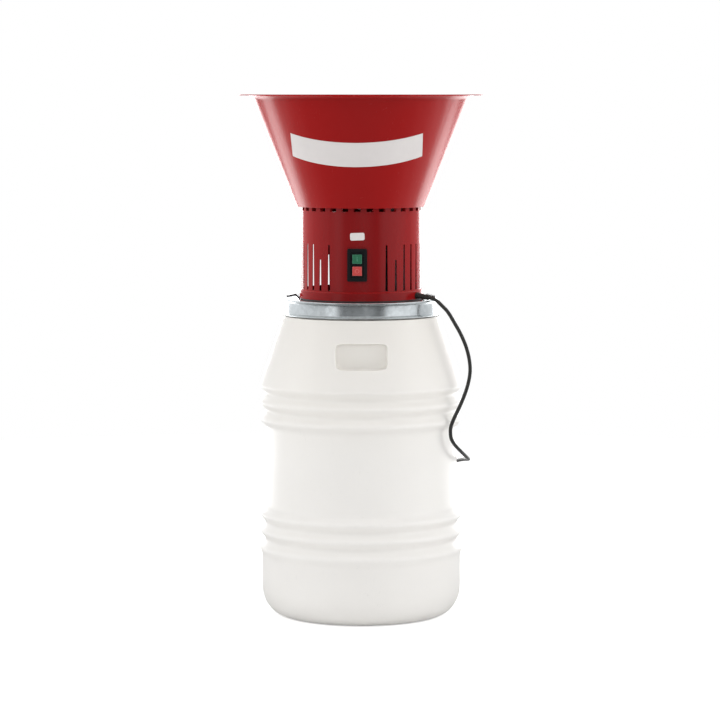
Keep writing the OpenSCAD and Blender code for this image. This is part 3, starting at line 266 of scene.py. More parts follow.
class Tree:
    """Adds nodes to a shader tree and joins them."""

    def __init__(self, tree):
        self.tree = tree

    def add(self, kind, inputs=None, **settings):
        made = self.tree.nodes.new(kind)
        for key, value in settings.items():
            setattr(made, key, value)
        for key, value in (inputs or {}).items():
            self.put(value, made.inputs[key])
        return made

    def put(self, value, socket):
        if isinstance(value, bpy.types.NodeSocket):
            self.tree.links.new(value, socket)
        else:
            socket.default_value = value

    def maths(self, operation, *values):
        made = self.add("ShaderNodeMath", operation=operation)
        for place, value in enumerate(values):
            self.put(value, made.inputs[place])
        return made.outputs[0]

    def spread(self, value, low, high, least=0.0):
        """A value made to run from the least to 1 between two limits."""
        limits = {"Value": value, "From Min": low, "From Max": high, "To Min": least}
        return self.add("ShaderNodeMapRange", limits, clamp=True).outputs[0]

    def mix(self, factor, first, second):
        made = self.add("ShaderNodeMix", data_type="RGBA")
        self.put(factor, made.inputs[0])
        self.put(first, made.inputs[6])
        self.put(second, made.inputs[7])
        return made.outputs[2]

    def axes(self, vector):
        return self.add("ShaderNodeSeparateXYZ", {0: vector}).outputs

    def rays(self):
        """Masks of rays that see a place straight or through glass, and of rays that see it in gloss."""
        path = self.add("ShaderNodeLightPath").outputs
        straight = self.maths("MAXIMUM", path["Is Camera Ray"], path["Is Transmission Ray"])
        return straight, path["Is Glossy Ray"]

    def places(self, turn=0.0, scale=(1.0, 1.0, 1.0)):
        spot = self.add("ShaderNodeTexCoord").outputs["Object"]
        if turn == 0.0 and scale == (1.0, 1.0, 1.0):
            return spot
        turned = {"Vector": spot, "Rotation": (0.0, 0.0, turn), "Scale": scale}
        return self.add("ShaderNodeMapping", turned).outputs[0]

    def noise(self, spot, scale, detail=3.0, roughness=0.5):
        values = {"Vector": spot, "Scale": scale, "Detail": detail, "Roughness": roughness}
        return self.add("ShaderNodeTexNoise", values).outputs["Fac"]


def effect(name, *outputs, **inputs):
    """Make a function that lays out an effect's nodes give its node group, built once and shared."""
    def shared(lay_out):
        def group():
            if name in bpy.data.node_groups:
                return bpy.data.node_groups[name]
            made = bpy.data.node_groups.new(name, "ShaderNodeTree")
            for label, value in inputs.items():
                socket = made.interface.new_socket(label, in_out="INPUT", socket_type="NodeSocketFloat")
                socket.default_value = value
            for label in outputs:
                made.interface.new_socket(label, in_out="OUTPUT", socket_type="NodeSocketFloat")
            given = made.nodes.new("NodeGroupInput").outputs
            result = made.nodes.new("NodeGroupOutput").inputs
            for place, socket in enumerate(lay_out(Tree(made), given)):
                made.links.new(socket, result[place])
            return made
        return group
    return shared


@effect("Cloudy tone", "Tone", Scale=6.0)
def cloudy_tone(t, given):
    """Slow, soft changes of tone all over a surface."""
    return [t.spread(t.noise(t.places(), given["Scale"], 4.0, 0.55), 0.28, 0.72)]


@effect("Moulded grain", "Height", Peel=120.0, Grain=900.0)
def moulded_grain(t, given):
    """Orange peel and fine grain of a moulded or sprayed skin."""
    peel = t.noise(t.places(), given["Peel"], 2.0, 0.4)
    grain = t.noise(t.places(), given["Grain"], 3.0, 0.6)
    return [t.maths("ADD", t.maths("MULTIPLY", peel, 0.7), t.maths("MULTIPLY", grain, 0.3))]


@effect("Fine scratches", "Mask", Start=0.68)
def fine_scratches(t, given):
    """Sparse hairline scratches that run in two crossing directions."""
    found = []
    for turn, stretch in ((0.5, (900.0, 35.0, 60.0)), (-0.9, (40.0, 1000.0, 90.0))):
        line = t.noise(t.places(turn, stretch), 1.0, 2.0, 0.6)
        found.append(t.spread(line, given["Start"], t.maths("ADD", given["Start"], 0.05)))
    where = t.spread(t.noise(t.places(), 14.0, 3.0), 0.45, 0.65)
    return [t.maths("MULTIPLY", t.maths("MAXIMUM", *found), where)]


@effect("Zinc spangle", "Tone", "Shine", Scale=130.0)
def zinc_spangle(t, given):
    """Crystals of hot-dip zinc, each with a tone and a shine of its own."""
    wave = t.add("ShaderNodeTexNoise", {"Vector": t.places(), "Scale": 60.0, "Detail": 2.0}).outputs["Color"]
    pull = t.add("ShaderNodeVectorMath", {0: wave, "Scale": 6 * MM}, operation="SCALE").outputs[0]
    bent = t.add("ShaderNodeVectorMath", {0: t.places(), 1: pull}, operation="ADD").outputs[0]
    cells = t.add("ShaderNodeTexVoronoi", {"Vector": bent, "Scale": given["Scale"]}).outputs["Color"]
    return t.add("ShaderNodeSeparateColor", {"Color": cells}).outputs[:2]


@effect("Spun lines", "Tone", Lines=900.0)
def spun_lines(t, given):
    """Fine rings that a spinning tool leaves, seen in the radius and in the height."""
    x, y, z = t.axes(t.places())
    radius = t.maths("SQRT", t.maths("ADD", t.maths("MULTIPLY", x, x), t.maths("MULTIPLY", y, y)))
    spot = t.add("ShaderNodeCombineXYZ", {0: radius, 1: z}).outputs[0]
    return [t.noise(spot, given["Lines"], 4.0, 0.7)]


@effect("Drawn lines", "Tone", Lines=1500.0)
def drawn_lines(t, given):
    """Straight grain of rolled sheet and ground steel."""
    return [t.noise(t.places(0.35, (1.0, 0.03, 0.5)), given["Lines"], 4.0, 0.65)]


@effect("Settled dust", "Mask", Scale=30.0)
def settled_dust(t, given):
    """Pale dust on faces that look up, thicker in patches."""
    up = t.axes(t.add("ShaderNodeNewGeometry").outputs["Normal"])[2]
    patch = t.spread(t.noise(t.places(), given["Scale"], 6.0, 0.65), 0.4, 0.75)
    return [t.maths("MULTIPLY", t.spread(up, 0.55, 0.98), patch)]


@effect("Worn edges", "Mask", Start=0.54)
def worn_edges(t, given):
    """Broken wear along convex edges."""
    edge = t.spread(t.add("ShaderNodeNewGeometry").outputs["Pointiness"], given["Start"],
                    t.maths("ADD", given["Start"], 0.07))
    patch = t.spread(t.noise(t.places(), 160.0, 5.0, 0.7), 0.42, 0.62)
    return [t.maths("MULTIPLY", edge, patch)]


@effect("Stacked layers", "Height", Pitch=0.001)
def stacked_layers(t, given):
    """Regular layers along the height, as in a stack of laminations or a winding."""
    height = t.axes(t.places())[2]
    wave = t.maths("SINE", t.maths("MULTIPLY", height, t.maths("DIVIDE", math.tau, given["Pitch"])))
    return [t.spread(wave, -1.0, 1.0)]


class Finish:
    """One material: a base colour and roughness that effects change from place to place."""

    def __init__(self, name, colour, roughness, metallic=0.0, **sockets):
        self.material = bpy.data.materials.new(name)
        self.material.use_nodes = True
        self.tree = Tree(self.material.node_tree)
        self.shader = self.material.node_tree.nodes["Principled BSDF"]
        self.wear = bpy.context.scene.mill_wear
        self.base = tuple(colour)
        self.colour = (*colour, 1.0)
        self.roughness = roughness
        self.normal = None
        self.material.diffuse_color = self.colour
        for label, value in {"Metallic": metallic, **sockets}.items():
            self.shader.inputs[label.replace("_", " ")].default_value = value

    def shade(self, factor):
        """The base colour made lighter or darker."""
        return tuple(min(1.0, value * factor) for value in self.base)

    def read(self, group, output=0, **inputs):
        made = self.tree.add("ShaderNodeGroup", node_tree=group)
        for label, value in inputs.items():
            made.inputs[label].default_value = value
        return made.outputs[output]

    def tint(self, mask, colour, amount):
        factor = self.tree.maths("MULTIPLY", mask, amount)
        self.colour = self.tree.mix(factor, self.colour, (*colour, 1.0))

    def roughen(self, mask, change):
        self.roughness = self.tree.maths("MULTIPLY_ADD", mask, change, self.roughness)

    def lay(self, group, colour, amount, rougher=0.0, **inputs):
        """Tint the places that an effect picks out, and roughen them; an amount of 0 leaves it off."""
        if not amount:
            return None
        mask = self.read(group, **inputs)
        self.tint(mask, colour, amount)
        if rougher:
            self.roughen(mask, rougher)
        return mask

    def bump(self, height, distance, strength=1.0):
        made = self.tree.add("ShaderNodeBump", {"Height": height, "Distance": distance, "Strength": strength})
        if self.normal:
            self.tree.put(self.normal, made.inputs["Normal"])
        self.normal = made.outputs[0]

    def skin(self, peel, grain, depth):
        """Bumps of a moulded or sprayed skin."""
        self.bump(self.read(moulded_grain(), Peel=peel, Grain=grain), depth)

    def done(self):
        self.tree.put(self.colour, self.shader.inputs["Base Color"])
        self.tree.put(self.roughness, self.shader.inputs["Roughness"])
        if self.normal:
            self.tree.put(self.normal, self.shader.inputs["Normal"])
        return self.material


# Colour of the meal dust that settles on the mill
MEAL = (0.62, 0.53, 0.38)


def plain_finish(name, colour, roughness, grain=0.00004, dust=0.3, scratches=0.3, peel=150.0, **sockets):
    """A moulded or coated surface: cloudy tone, grain, scratches and a trace of dust."""
    if name in bpy.data.materials:
        return bpy.data.materials[name]
    f = Finish(name, colour, roughness, **sockets)
    f.lay(cloudy_tone(), f.shade(0.82), 0.5, 0.06, Scale=9.0)
    f.lay(fine_scratches(), f.shade(1.8), scratches * f.wear.scuffs, 0.25 * f.wear.scuffs)
    f.lay(settled_dust(), MEAL, dust * f.wear.dust, 0.4 * f.wear.dust)
    f.skin(peel, peel * 7.0, grain)
    return f.done()


def black_moulding():
    """Black moulding of the switch, fan, knob and tie."""
    return plain_finish("Black moulding", bpy.context.scene.mill_colours.black, 0.4, Specular_IOR_Level=0.25)


def black_enamel():
    """Black enamel of the base plate, fan cowl and clamp, with a red cast that is a painted reflection of the
    red housing.
    """
    return plain_finish("Black enamel", bpy.context.scene.mill_colours.black_enamel, 0.3, grain=0.00006)


def seal_rubber():
    """Rubber of the gasket and the shaft seal."""
    return plain_finish("Seal rubber", (0.018, 0.018, 0.018), 0.6, grain=0.00008, scratches=0.0)


def steel_finish(name, colour, roughness, lines=0.25, dust=0.0):
    """Bare metal with its rolled or ground grain."""
    if name in bpy.data.materials:
        return bpy.data.materials[name]
    f = Finish(name, colour, roughness, 1.0)
    grain = f.lay(drawn_lines(), f.shade(0.7), lines, 0.16)
    f.lay(cloudy_tone(), f.shade(0.8), 0.4, Scale=20.0)
    f.lay(worn_edges(), f.shade(1.4), 0.6 * f.wear.edges)
    f.lay(settled_dust(), MEAL, dust * f.wear.dust)
    f.bump(grain, 0.00002)
    return f.done()


def bright_zinc():
    """Zinc-plated screws, nuts and pins."""
    return steel_finish("Bright zinc", (0.62, 0.63, 0.66), 0.26)


def ground_steel():
    """Ground steel of the shaft, the blades and the sieve."""
    return steel_finish("Ground steel", (0.5, 0.51, 0.53), 0.24)


def plain_sheet():
    """Dusty sheet steel of the feed and the chamber's floor."""
    return steel_finish("Plain sheet", (0.56, 0.58, 0.59), 0.3, dust=0.5)


def enamel(name, colour, roughness, **sockets):
    """Red stove enamel: deep gloss, a red sheen, faint orange peel and rubbed edges."""
    f = Finish(name, colour, roughness, Sheen_Roughness=0.8, Sheen_Tint=(1.0, 0.03, 0.03, 1.0), **sockets)
    f.lay(cloudy_tone(), f.shade(0.86), 0.5, 0.05, Scale=5.0)
    f.lay(fine_scratches(), f.shade(1.7), 0.25 * f.wear.scuffs, 0.3 * f.wear.scuffs, Start=0.7)
    f.lay(worn_edges(), f.shade(1.4), 0.1 * f.wear.edges, Start=0.56)
    f.lay(settled_dust(), MEAL, 0.3 * f.wear.dust, 0.5 * f.wear.dust, Scale=22.0)
    f.skin(70.0, 500.0, 0.00005)
    return f.done()


def galvanised():
    """Hot-dip galvanised sheet, spun to shape: spangle, rings and dull patches."""
    f = Finish("Galvanised sheet", bpy.context.scene.mill_colours.zinc, 0.10, 1.0)
    f.lay(zinc_spangle(), f.shade(0.72), 0.45)
    f.roughen(f.read(zinc_spangle(), "Shine"), 0.06)
    rings = f.lay(spun_lines(), f.shade(0.6), 0.25, 0.06)
    f.lay(cloudy_tone(), (0.45, 0.47, 0.5), 0.2, 0.08, Scale=16.0)
    f.lay(settled_dust(), MEAL, 0.15)
    f.bump(rings, 0.00002)
    return f.done()


def drum_plastic():
    """Natural HDPE: milky, softly glossy, scuffed on its ribs, with painted shade that makes it darker and
    warmer towards the top, and slightly darker and warmer at the foot.
    """
    scene = bpy.context.scene
    f = Finish("Drum plastic", scene.mill_colours.drum, 0.34, Subsurface_Weight=0.3,
               Subsurface_Radius=(0.016, 0.016, 0.016), Subsurface_Scale=1.0)
    t = f.tree
    x, y, z = t.axes(t.places(-scene.mill_drum.turn))
    # Painted shade: darker and warmer towards the top, where the hopper above and the chamber inside shade
    # the drum
    f.tint(t.spread(z, 0.30, 0.60), (0.80, 0.765, 0.70), 0.8)
    f.tint(t.spread(z, 0.07, 0.0), (0.70, 0.68, 0.63), 0.12)
    f.lay(cloudy_tone(), f.shade(0.93), 0.4, 0.10, Scale=7.0)
    f.lay(fine_scratches(), (0.56, 0.55, 0.52), 0.35 * f.wear.scuffs, 0.3 * f.wear.scuffs, Start=0.66)
    f.lay(worn_edges(), (0.66, 0.64, 0.60), 0.35 * f.wear.edges, 0.2, Start=0.505)
    f.lay(settled_dust(), MEAL, 0.2 * f.wear.dust)
    # The mould's parting line runs down both sides
    seam = t.spread(t.maths("ABSOLUTE", y), 0.0011, 0.0003)
    side = t.spread(t.maths("ABSOLUTE", x), 0.10, 0.12)
    f.bump(t.maths("MULTIPLY", seam, side), 0.0006, 0.8)
    f.skin(55.0, 420.0, 0.00012)
    return f.done()


def label_film():
    """Bare self-adhesive film: slightly yellowed, with small bubbles and a rubbed face."""
    f = Finish("Label film", bpy.context.scene.mill_colours.label, 0.36)
    t = f.tree
    f.lay(cloudy_tone(), f.shade(0.93), 0.6, 0.1, Scale=30.0)
    bubbles = t.add("ShaderNodeTexVoronoi", {"Vector": t.places(), "Scale": 90.0}).outputs["Distance"]
    patches = t.spread(t.noise(t.places(), 25.0), 0.55, 0.62)
    f.bump(t.maths("MULTIPLY", t.spread(bubbles, 0.16, 0.0), patches), 0.00025)
    f.skin(90.0, 1200.0, 0.00006)
    f.lay(fine_scratches(), (0.4, 0.37, 0.36), 0.3)
    return f.done()


def layered(name, colour, roughness, pitch, depth):
    """Stacked laminations or wound wire."""
    f = Finish(name, colour, roughness, 1.0)
    rows = f.lay(stacked_layers(), f.shade(0.45), 0.6, Pitch=pitch)
    f.lay(cloudy_tone(), f.shade(0.7), 0.5, Scale=40.0)
    f.bump(rows, depth)
    return f.done()


def cast_alloy():
    """Die-cast alloy: fine pits and a dull skin."""
    f = Finish("Cast alloy", (0.42, 0.43, 0.44), 0.46, 1.0)
    f.lay(cloudy_tone(), (0.30, 0.31, 0.32), 0.6, Scale=25.0)
    f.lay(worn_edges(), (0.7, 0.71, 0.72), 0.5)
    f.skin(350.0, 1400.0, 0.0002)
    return f.done()


# Operators

# Each lamp's place, width and watts, then whether only gloss and metal show it, and whether it faces up
LAMPS = {"Softbox left": ((-2.3, -0.7, 1.3), 1.4, 19.0),
         "Softbox right": ((2.3, -0.5, 1.3), 1.4, 19.0),
         "Softbox front": ((0.4, -4.2, 1.3), 2.0, 38.0),
         "Softbox above": ((0.0, 0.4, 3.4), 2.4, 23.0),
         "Rear glow left": ((-0.82, 3.1, 0.55), 1.7, 34.0, True),
         "Rear glow right": ((0.82, 3.1, 0.55), 1.7, 34.0, True),
         "Low glow left": ((-1.74, 1.65, 0.02), 1.9, 34.0, True, True),
         "Low glow right": ((1.51, 1.87, 0.02), 1.9, 32.0, True, True)}
LAMPS_AIM = Vector((0.0, 0.0, 0.8))
# What polished metal sees round the mill: angles from the front, positive to the right, and brightness
AROUND = ((-180, 1.1), (-154, 1.1), (-134, 0.92), (-95, 0.87), (-56, 0.66), (-46, 1.05), (-38, 1.05),
          (-28, 0.24), (2, 0.28), (12, 0.42), (36, 0.1), (46, 1.0), (92, 1.0), (106, 0.68), (138, 0.78),
          (154, 1.0))
WHITE = (1.0, 1.0, 1.0, 1.0)


class MILL_OT_stage(bpy.types.Operator):
    """Set the camera, the floor and the soft studio light"""
    bl_idname = "mill.stage"
    bl_label = "Stage"

    def execute(self, context):
        stage = context.scene.mill_stage
        self.camera(context, stage)
        self.floor()
        self.surroundings(context, stage)
        for name, values in LAMPS.items():
            self.lamp(name, *values)
        context.scene.view_settings.view_transform = "Standard"
        return {"FINISHED"}

    def camera(self, context, stage):
        eye = placed("Camera", bpy.data.cameras.new("Camera"))
        eye.data.lens = stage.lens
        eye.data.sensor_width = 36.0
        eye.data.clip_end = 50.0
        a = stage.camera_azimuth
        # The camera stands a little to the left of the mill's axis
        aside = 2.4 * MM
        eye.location = (stage.camera_distance * math.sin(a) - aside * math.cos(a),
                        -stage.camera_distance * math.cos(a) - aside * math.sin(a), stage.camera_height)
        eye.rotation_euler = (math.radians(90.0) - stage.camera_tilt, 0.0, a)
        context.scene.camera = eye

    def floor(self):
        shape = bmesh.new()
        bmesh.ops.create_circle(shape, cap_ends=True, radius=3.0, segments=96)
        floor = placed("Floor", shape)
        material = bpy.data.materials.new("Pale floor")
        material.use_nodes = True
        t = Tree(material.node_tree)
        nodes = material.node_tree.nodes
        nodes.remove(nodes["Principled BSDF"])
        speck = t.mix(t.noise(t.places(), 60.0, 4.0), (0.9, 0.9, 0.9, 1.0), (0.92, 0.92, 0.92, 1.0))
        lit = t.add("ShaderNodeBsdfDiffuse", {"Color": speck})
        straight, glossy = t.rays()
        glow = t.add("ShaderNodeEmission", {"Color": WHITE, "Strength": t.maths("MULTIPLY", straight, 0.5)})
        both = t.add("ShaderNodeAddShader", {0: lit.outputs[0], 1: glow.outputs[0]})
        # Gloss sees a floor that is dark in front of the mill and bright behind it
        back = t.axes(t.places())[1]
        shown = t.add("ShaderNodeEmission", {"Color": WHITE, "Strength": t.spread(back, -0.6, 0.7, 0.03)})
        floors = t.add("ShaderNodeMixShader", {0: glossy, 1: both.outputs[0], 2: shown.outputs[0]})
        t.put(floors.outputs[0], nodes["Material Output"].inputs["Surface"])
        floor.data.materials.append(material)

    def surroundings(self, context, stage):
        world = bpy.data.worlds.new("Studio")
        context.scene.world = world
        world.use_nodes = True
        t = Tree(world.node_tree)
        x, y, z = t.axes(t.add("ShaderNodeTexCoord").outputs["Generated"])
        azimuth = t.maths("ARCTAN2", x, t.maths("MULTIPLY", y, -1.0))
        ramp = t.add("ShaderNodeValToRGB", {"Fac": t.spread(azimuth, -math.pi, math.pi)})
        stops = ramp.color_ramp.elements
        while len(stops) < len(AROUND):
            stops.new(0.5)
        for stop, (turn, level) in zip(stops, AROUND):
            stop.position = turn / 360.0 + 0.5
            stop.color = (level * 0.98, level, level * 1.02, 1.0)
        # The far edge of the floor shows as a dark line, and the studio is even overhead
        edge = t.maths("MULTIPLY", t.spread(z, -0.29, -0.27), t.spread(z, -0.19, -0.21))
        walls = t.mix(edge, ramp.outputs[0], (0.03, 0.03, 0.03, 1.0))
        studio = t.mix(t.spread(z, 0.35, 0.75), walls, (0.8, 0.8, 0.8, 1.0))
        straight, glossy = t.rays()
        light = t.mix(glossy, (stage.daylight, stage.daylight, stage.daylight, 1.0), studio)
        t.put(t.mix(straight, light, WHITE), world.node_tree.nodes["Background"].inputs["Color"])

    def lamp(self, name, place, width, watts, shown=False, upwards=False):
        """A round lamp that lights the mill, or one that only shows in gloss."""
        lamp = bpy.data.lights.new(name, "AREA")
        lamp.shape = "DISK"
        lamp.size = width
        lamp.energy = watts
        made = placed(name, lamp)
        made.location = place
        aim = Vector((0.0, 0.0, 1.0)) if upwards else LAMPS_AIM - Vector(place)
        made.rotation_euler = aim.to_track_quat("-Z", "Y").to_euler()
        made.visible_camera = False
        made.visible_diffuse = not shown
        made.visible_glossy = shown


# The cord in millimetres: where it leaves its strain relief, its way down, its coil and its plug
EXIT_AZIMUTH = math.radians(66.0)
EXIT_DROOP = math.radians(8.0)
EXIT_RADIUS = 121.0
EXIT_HEIGHT = 612.709
GLAND_REACH = 22.0
CORD_ROUTE = [
    (144, -64, 606), (151, -67, 600.5), (158.5, -71, 593.5), (168, -75, 583.5), (180, -77, 564),
    (192, -80, 543), (202, -83, 520), (208, -84, 497), (210, -85, 475), (207, -87, 453), (200, -89, 430),
    (190, -92, 406), (181, -95, 387), (175, -97, 371), (174, -98, 358), (176, -95, 346),
    (183, -84, 333), (193, -67, 320), (201, -44, 309), (205, -18, 301), (204, 12, 296),
    (197, 42, 292), (184, 76, 286), (165, 112, 275), (140, 145, 257), (116, 170, 230),
    (99, 187, 196), (89, 198, 160), (82, 205, 122), (75, 209, 86), (66, 212, 52),
    (53, 213, 27), (38, 214, 12), (22, 214, 5)]
COIL_CENTRE = (0.0, 261.0)
COIL_FLOOR = 5.0
# Turns inwards, on the way up, and outwards
COIL_TURNS = (1.75, 0.5, 1.75)
TAIL_RUN = 6.0
PLUG_LEAN = math.radians(5.5)
PLUG_RUN = 9.0


def smooth_route(points, steps):
    """Points along a smooth curve through the given ones."""
    points = [Vector(p) for p in points]
    route = []
    for i in range(len(points) - 1):
        a, b = points[max(i - 1, 0)], points[i]
        c, d = points[i + 1], points[min(i + 2, len(points) - 1)]
        for s in range(steps):
            t = s / steps
            route.append(0.5 * (2 * b + (c - a) * t + (2 * a - 5 * b + 4 * c - d) * t * t
                                + (3 * b - a - 3 * c + d) * t ** 3))
    return route + [points[-1]]


def coil_route(outer, pitch, rings=40):
    """The coil: inwards along the floor, up where it reverses, and outwards on top."""
    inward, flip, outward = COIL_TURNS
    turns = inward + flip + outward
    route = []
    for i in range(int(turns * rings) + 1):
        t = i / rings
        if t < inward:
            radius = outer - pitch * t
        elif t < inward + flip:
            radius = outer - pitch * (inward + (t - inward) - (t - inward) ** 2 / flip)
        else:
            radius = outer - pitch * (turns - t)
        height = COIL_FLOOR + pitch * max(0.0, min(1.0, (t - inward) / flip))
        angle = math.radians(-90.0) - math.tau * t
        route.append(Vector((COIL_CENTRE[0] + radius * math.cos(angle),
                             COIL_CENTRE[1] + radius * math.sin(angle), height)))
    return route


class MILL_OT_cord(bpy.types.Operator):
    """Run the supply cord down the drum's back to its coil and plug"""
    bl_idname = "mill.cord"
    bl_label = "Cord"

    def execute(self, context):
        sizes = context.scene.mill_cord
        away = Vector((math.sin(EXIT_AZIMUTH), -math.cos(EXIT_AZIMUTH), 0.0))
        sag = away * math.cos(EXIT_DROOP) - Vector((0.0, 0.0, math.sin(EXIT_DROOP)))
        leaves = EXIT_RADIUS * away + GLAND_REACH * sag + Vector((0.0, 0.0, EXIT_HEIGHT))
        coil = coil_route(sizes.coil_radius / MM, sizes.coil_pitch / MM)
        lands = coil[0] + Vector((sizes.diameter / MM, 0, 0))
        down = smooth_route([leaves, leaves + 6 * sag, *CORD_ROUTE, lands], 6)
        tail = coil[-1] - Vector((TAIL_RUN, 0.0, 0.0))
        plug = tail + PLUG_RUN * Vector((-math.cos(PLUG_LEAN), 0.0, math.sin(PLUG_LEAN)))
        route = [point * MM for point in [*down, *coil, tail, plug]]
        curve = bpy.data.curves.new("supply_cord", "CURVE")
        curve.dimensions = "3D"
        curve.bevel_depth = sizes.diameter / 2
        curve.bevel_resolution = 4
        curve.use_fill_caps = True
        line = curve.splines.new("POLY")
        line.points.add(len(route) - 1)
        for point, spot in zip(line.points, route):
            point.co = (*spot, 1.0)
        cord = placed("supply_cord", curve)
        sheath = plain_finish("Cord sheath", context.scene.mill_colours.cord, 0.42, grain=0.00003, peel=260.0,
                              dust=0.25)
        curve.materials.append(sheath)
        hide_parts("cord", "cord_coil")
        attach(cord, "mill")
        brass = steel_finish("Plug pins", (0.70, 0.66, 0.56), 0.22)
        soften_all("mill", ("cord_gland", sheath, 0.4))
        tie, moulded, pins = soften_all("mill", ("coil_tie", black_moulding(), 0.35),
                                        ("plug", sheath, 1.2, 3), ("plug_pins", brass, 0.6))
        dress(sheath, "gland_nut", "inner_leads")
        return {"FINISHED"}


class MILL_OT_drum(bpy.types.Operator):
    """Spin the drum, press its two hand grips and give it its plastic"""
    bl_idname = "mill.drum"
    bl_label = "Drum"

    columns = 96
    # A grip reaches over four columns each way, and columns lean between the two heights
    grip_edge = math.radians(15.0)
    lean_low = 0.455
    lean_high = 0.56

    def execute(self, context):
        s = context.scene.mill_drum
        shape = spun(self.section(s), self.columns)
        for side in (-1.0, 1.0):
            self.press_grip(shape, s, side)
        bmesh.ops.rotate(shape, verts=shape.verts, cent=(0, 0, 0), matrix=Matrix.Rotation(s.turn, 3, "Z"))
        drum = piece("drum_moulding", shape, "drum", drum_plastic(),
                     ["drum_body", "drum_shoulder", "drum_neck"], 180.0)
        wall = drum.modifiers.new("Wall", "SOLIDIFY")
        wall.thickness = s.wall
        wall.offset = -1.0
        wall.use_even_offset = True
        skin = drum.modifiers.new("Skin", "SUBSURF")
        skin.levels = 1
        skin.render_levels = 1
        softened("mouth_gasket", "drum", seal_rubber(), 0.5 * MM)
        return {"FINISHED"}

    def flank(self, low, high, steps=4):
        """Rows from a groove to a rib or back, along a cosine."""
        return [(low[0] + (high[0] - low[0]) * (1 - math.cos(math.pi * i / steps)) / 2,
                 low[1] + (high[1] - low[1]) * i / steps) for i in range(steps)]

    def ribs(self, s, first, before, after):
        """Rows of three ribs, from the radius before them to the one after, if any."""
        tips = [(before, first - s.rib_pitch / 2)]
        for i in range(5):
            tips.append((s.groove_radius if i % 2 else s.rib_radius, first + i * s.rib_pitch / 2))
        if after:
            tips.append((after, first + 2.5 * s.rib_pitch))
        rows = []
        for low, high in zip(tips, tips[1:]):
            rows += self.flank(low, high)
        return rows + [tips[-1]]

    def section(self, s):
        """The drum's half-section from the middle of its bottom to its mouth."""
        ledge = s.height - s.neck_height
        recess = 8 * MM
        foot = [(radius * MM, recess) for radius in (0, 40, 80, 112)]
        foot += rounded([(118 * MM, recess), (124 * MM, recess, 5 * MM), (134 * MM, 0.0, 4 * MM),
                         (s.foot_radius, 0.0)], 3)[1:]
        edge = [(s.foot_radius + (s.body_radius - s.foot_radius) * math.sin(math.radians(a)),
                 s.foot_edge * (1 - math.cos(math.radians(a)))) for a in range(8, 91, 9)]
        low = self.ribs(s, s.low_rib, s.body_radius, s.wall_radius)
        high = self.ribs(s, s.upper_rib, s.wall_radius, None)
        span = high[0][1] - low[-1][1]
        between = [(s.wall_radius, low[-1][1] + span * i / 5) for i in range(1, 5)]
        body = [(s.body_radius, s.foot_edge + (low[0][1] - s.foot_edge) * i / 3) for i in (1, 2)]
        foot_of_cone = Vector(high[-1])
        slope = (Vector((s.ledge_radius, ledge)) - foot_of_cone).normalized()
        cone = [tuple(foot_of_cone + slope * (rise * MM)) for rise in (1.2, 6, 14, 23)]
        cone += [self.on_cone(s, s.grip_low - 5 * MM)]
        cone += [self.on_cone(s, s.grip_low + s.grip_height * i / 5) for i in range(6)]
        cone += [self.on_cone(s, s.grip_low + s.grip_height + rise * MM) for rise in (5, 16, 28)]
        rim = s.neck_radius + 2.5 * MM
        neck = rounded([self.on_cone(s, ledge - 6 * MM), (s.ledge_radius, ledge, 1.6 * MM),
                        (s.neck_radius, ledge, 1.2 * MM),
                        (s.neck_radius, s.height - 10 * MM, 1 * MM),
                        (rim, s.height - 7.5 * MM, 1 * MM), (rim, s.height, 0.8 * MM),
                        (s.neck_radius - 1 * MM, s.height)], 3)
        return foot + edge + body + low + between + high + cone + neck

    def on_cone(self, s, height):
        """The point at a height on the cone between the upper ribs and the ledge."""
        low = s.upper_rib + 2 * s.rib_pitch
        high = s.height - s.neck_height
        t = (height - low) / (high - low)
        return (s.rib_radius + (s.ledge_radius - s.rib_radius) * t, height)

    def press_grip(self, shape, s, side):
        """Press a pocket into the cone, in front for a side of -1 and behind for 1."""
        low, high = s.grip_low, s.grip_low + s.grip_height
        half = s.grip_width / 2
        edge = self.grip_edge
        tiny = 1e-5
        region = []
        for face in shape.faces:
            spots = [vert.co for vert in face.verts]
            if all(low - tiny <= p.z <= high + tiny and p.y * side > 0
                   and abs(math.atan2(p.x, p.y * side)) <= edge + tiny for p in spots):
                region.append(face)
        if not region:
            raise RuntimeError("no place for the drum's grip")
        corners = [vert for vert in {v for f in region for v in f.verts}
                   if sum(face in region for face in vert.link_faces) == 1]
        # Columns in and beside the pocket lean so that its sides stand upright
        for vert in shape.verts:
            p = vert.co
            azimuth = math.atan2(p.x, p.y * side)
            if p.y * side <= 0 or abs(azimuth) > 2 * edge or not self.lean_low < p.z < self.lean_high:
                continue
            radius = math.hypot(p.x, p.y)
            inside = self.on_cone(s, max(low, min(high, p.z)))[0]
            fade = min(1.0, (p.z - self.lean_low) / (low - self.lean_low),
                       (self.lean_high - p.z) / (self.lean_high - high))
            extra = (math.asin(half / inside) - edge) * max(0.0, fade)
            pull = abs(azimuth) / edge if abs(azimuth) <= edge else 2.0 - abs(azimuth) / edge
            azimuth += math.copysign(extra * pull, azimuth) if abs(azimuth) > tiny else 0.0
            vert.co = Vector((radius * math.sin(azimuth), side * radius * math.cos(azimuth), p.z))
        # Drawing the corners in rounds them
        for vert in corners:
            x, z = vert.co.x, vert.co.z
            x -= math.copysign(2.2 * MM, x)
            z += 2.2 * MM if z < (low + high) / 2 else -2.2 * MM
            radius = self.on_cone(s, z)[0]
            vert.co = Vector((x, side * math.sqrt(radius * radius - x * x), z))
        # A soft rim, steep sides and a flat floor
        self.inset(shape, region, 1.0 * MM)
        for vert in self.inset(shape, region, 0.5 * MM):
            vert.co.y -= side * 1.4 * MM
        for vert in self.inset(shape, region, 0.9 * MM):
            vert.co.y = side * (s.grip_floor + 1.2 * MM)
        for vert in self.inset(shape, region, 1.6 * MM):
            vert.co.y = side * s.grip_floor

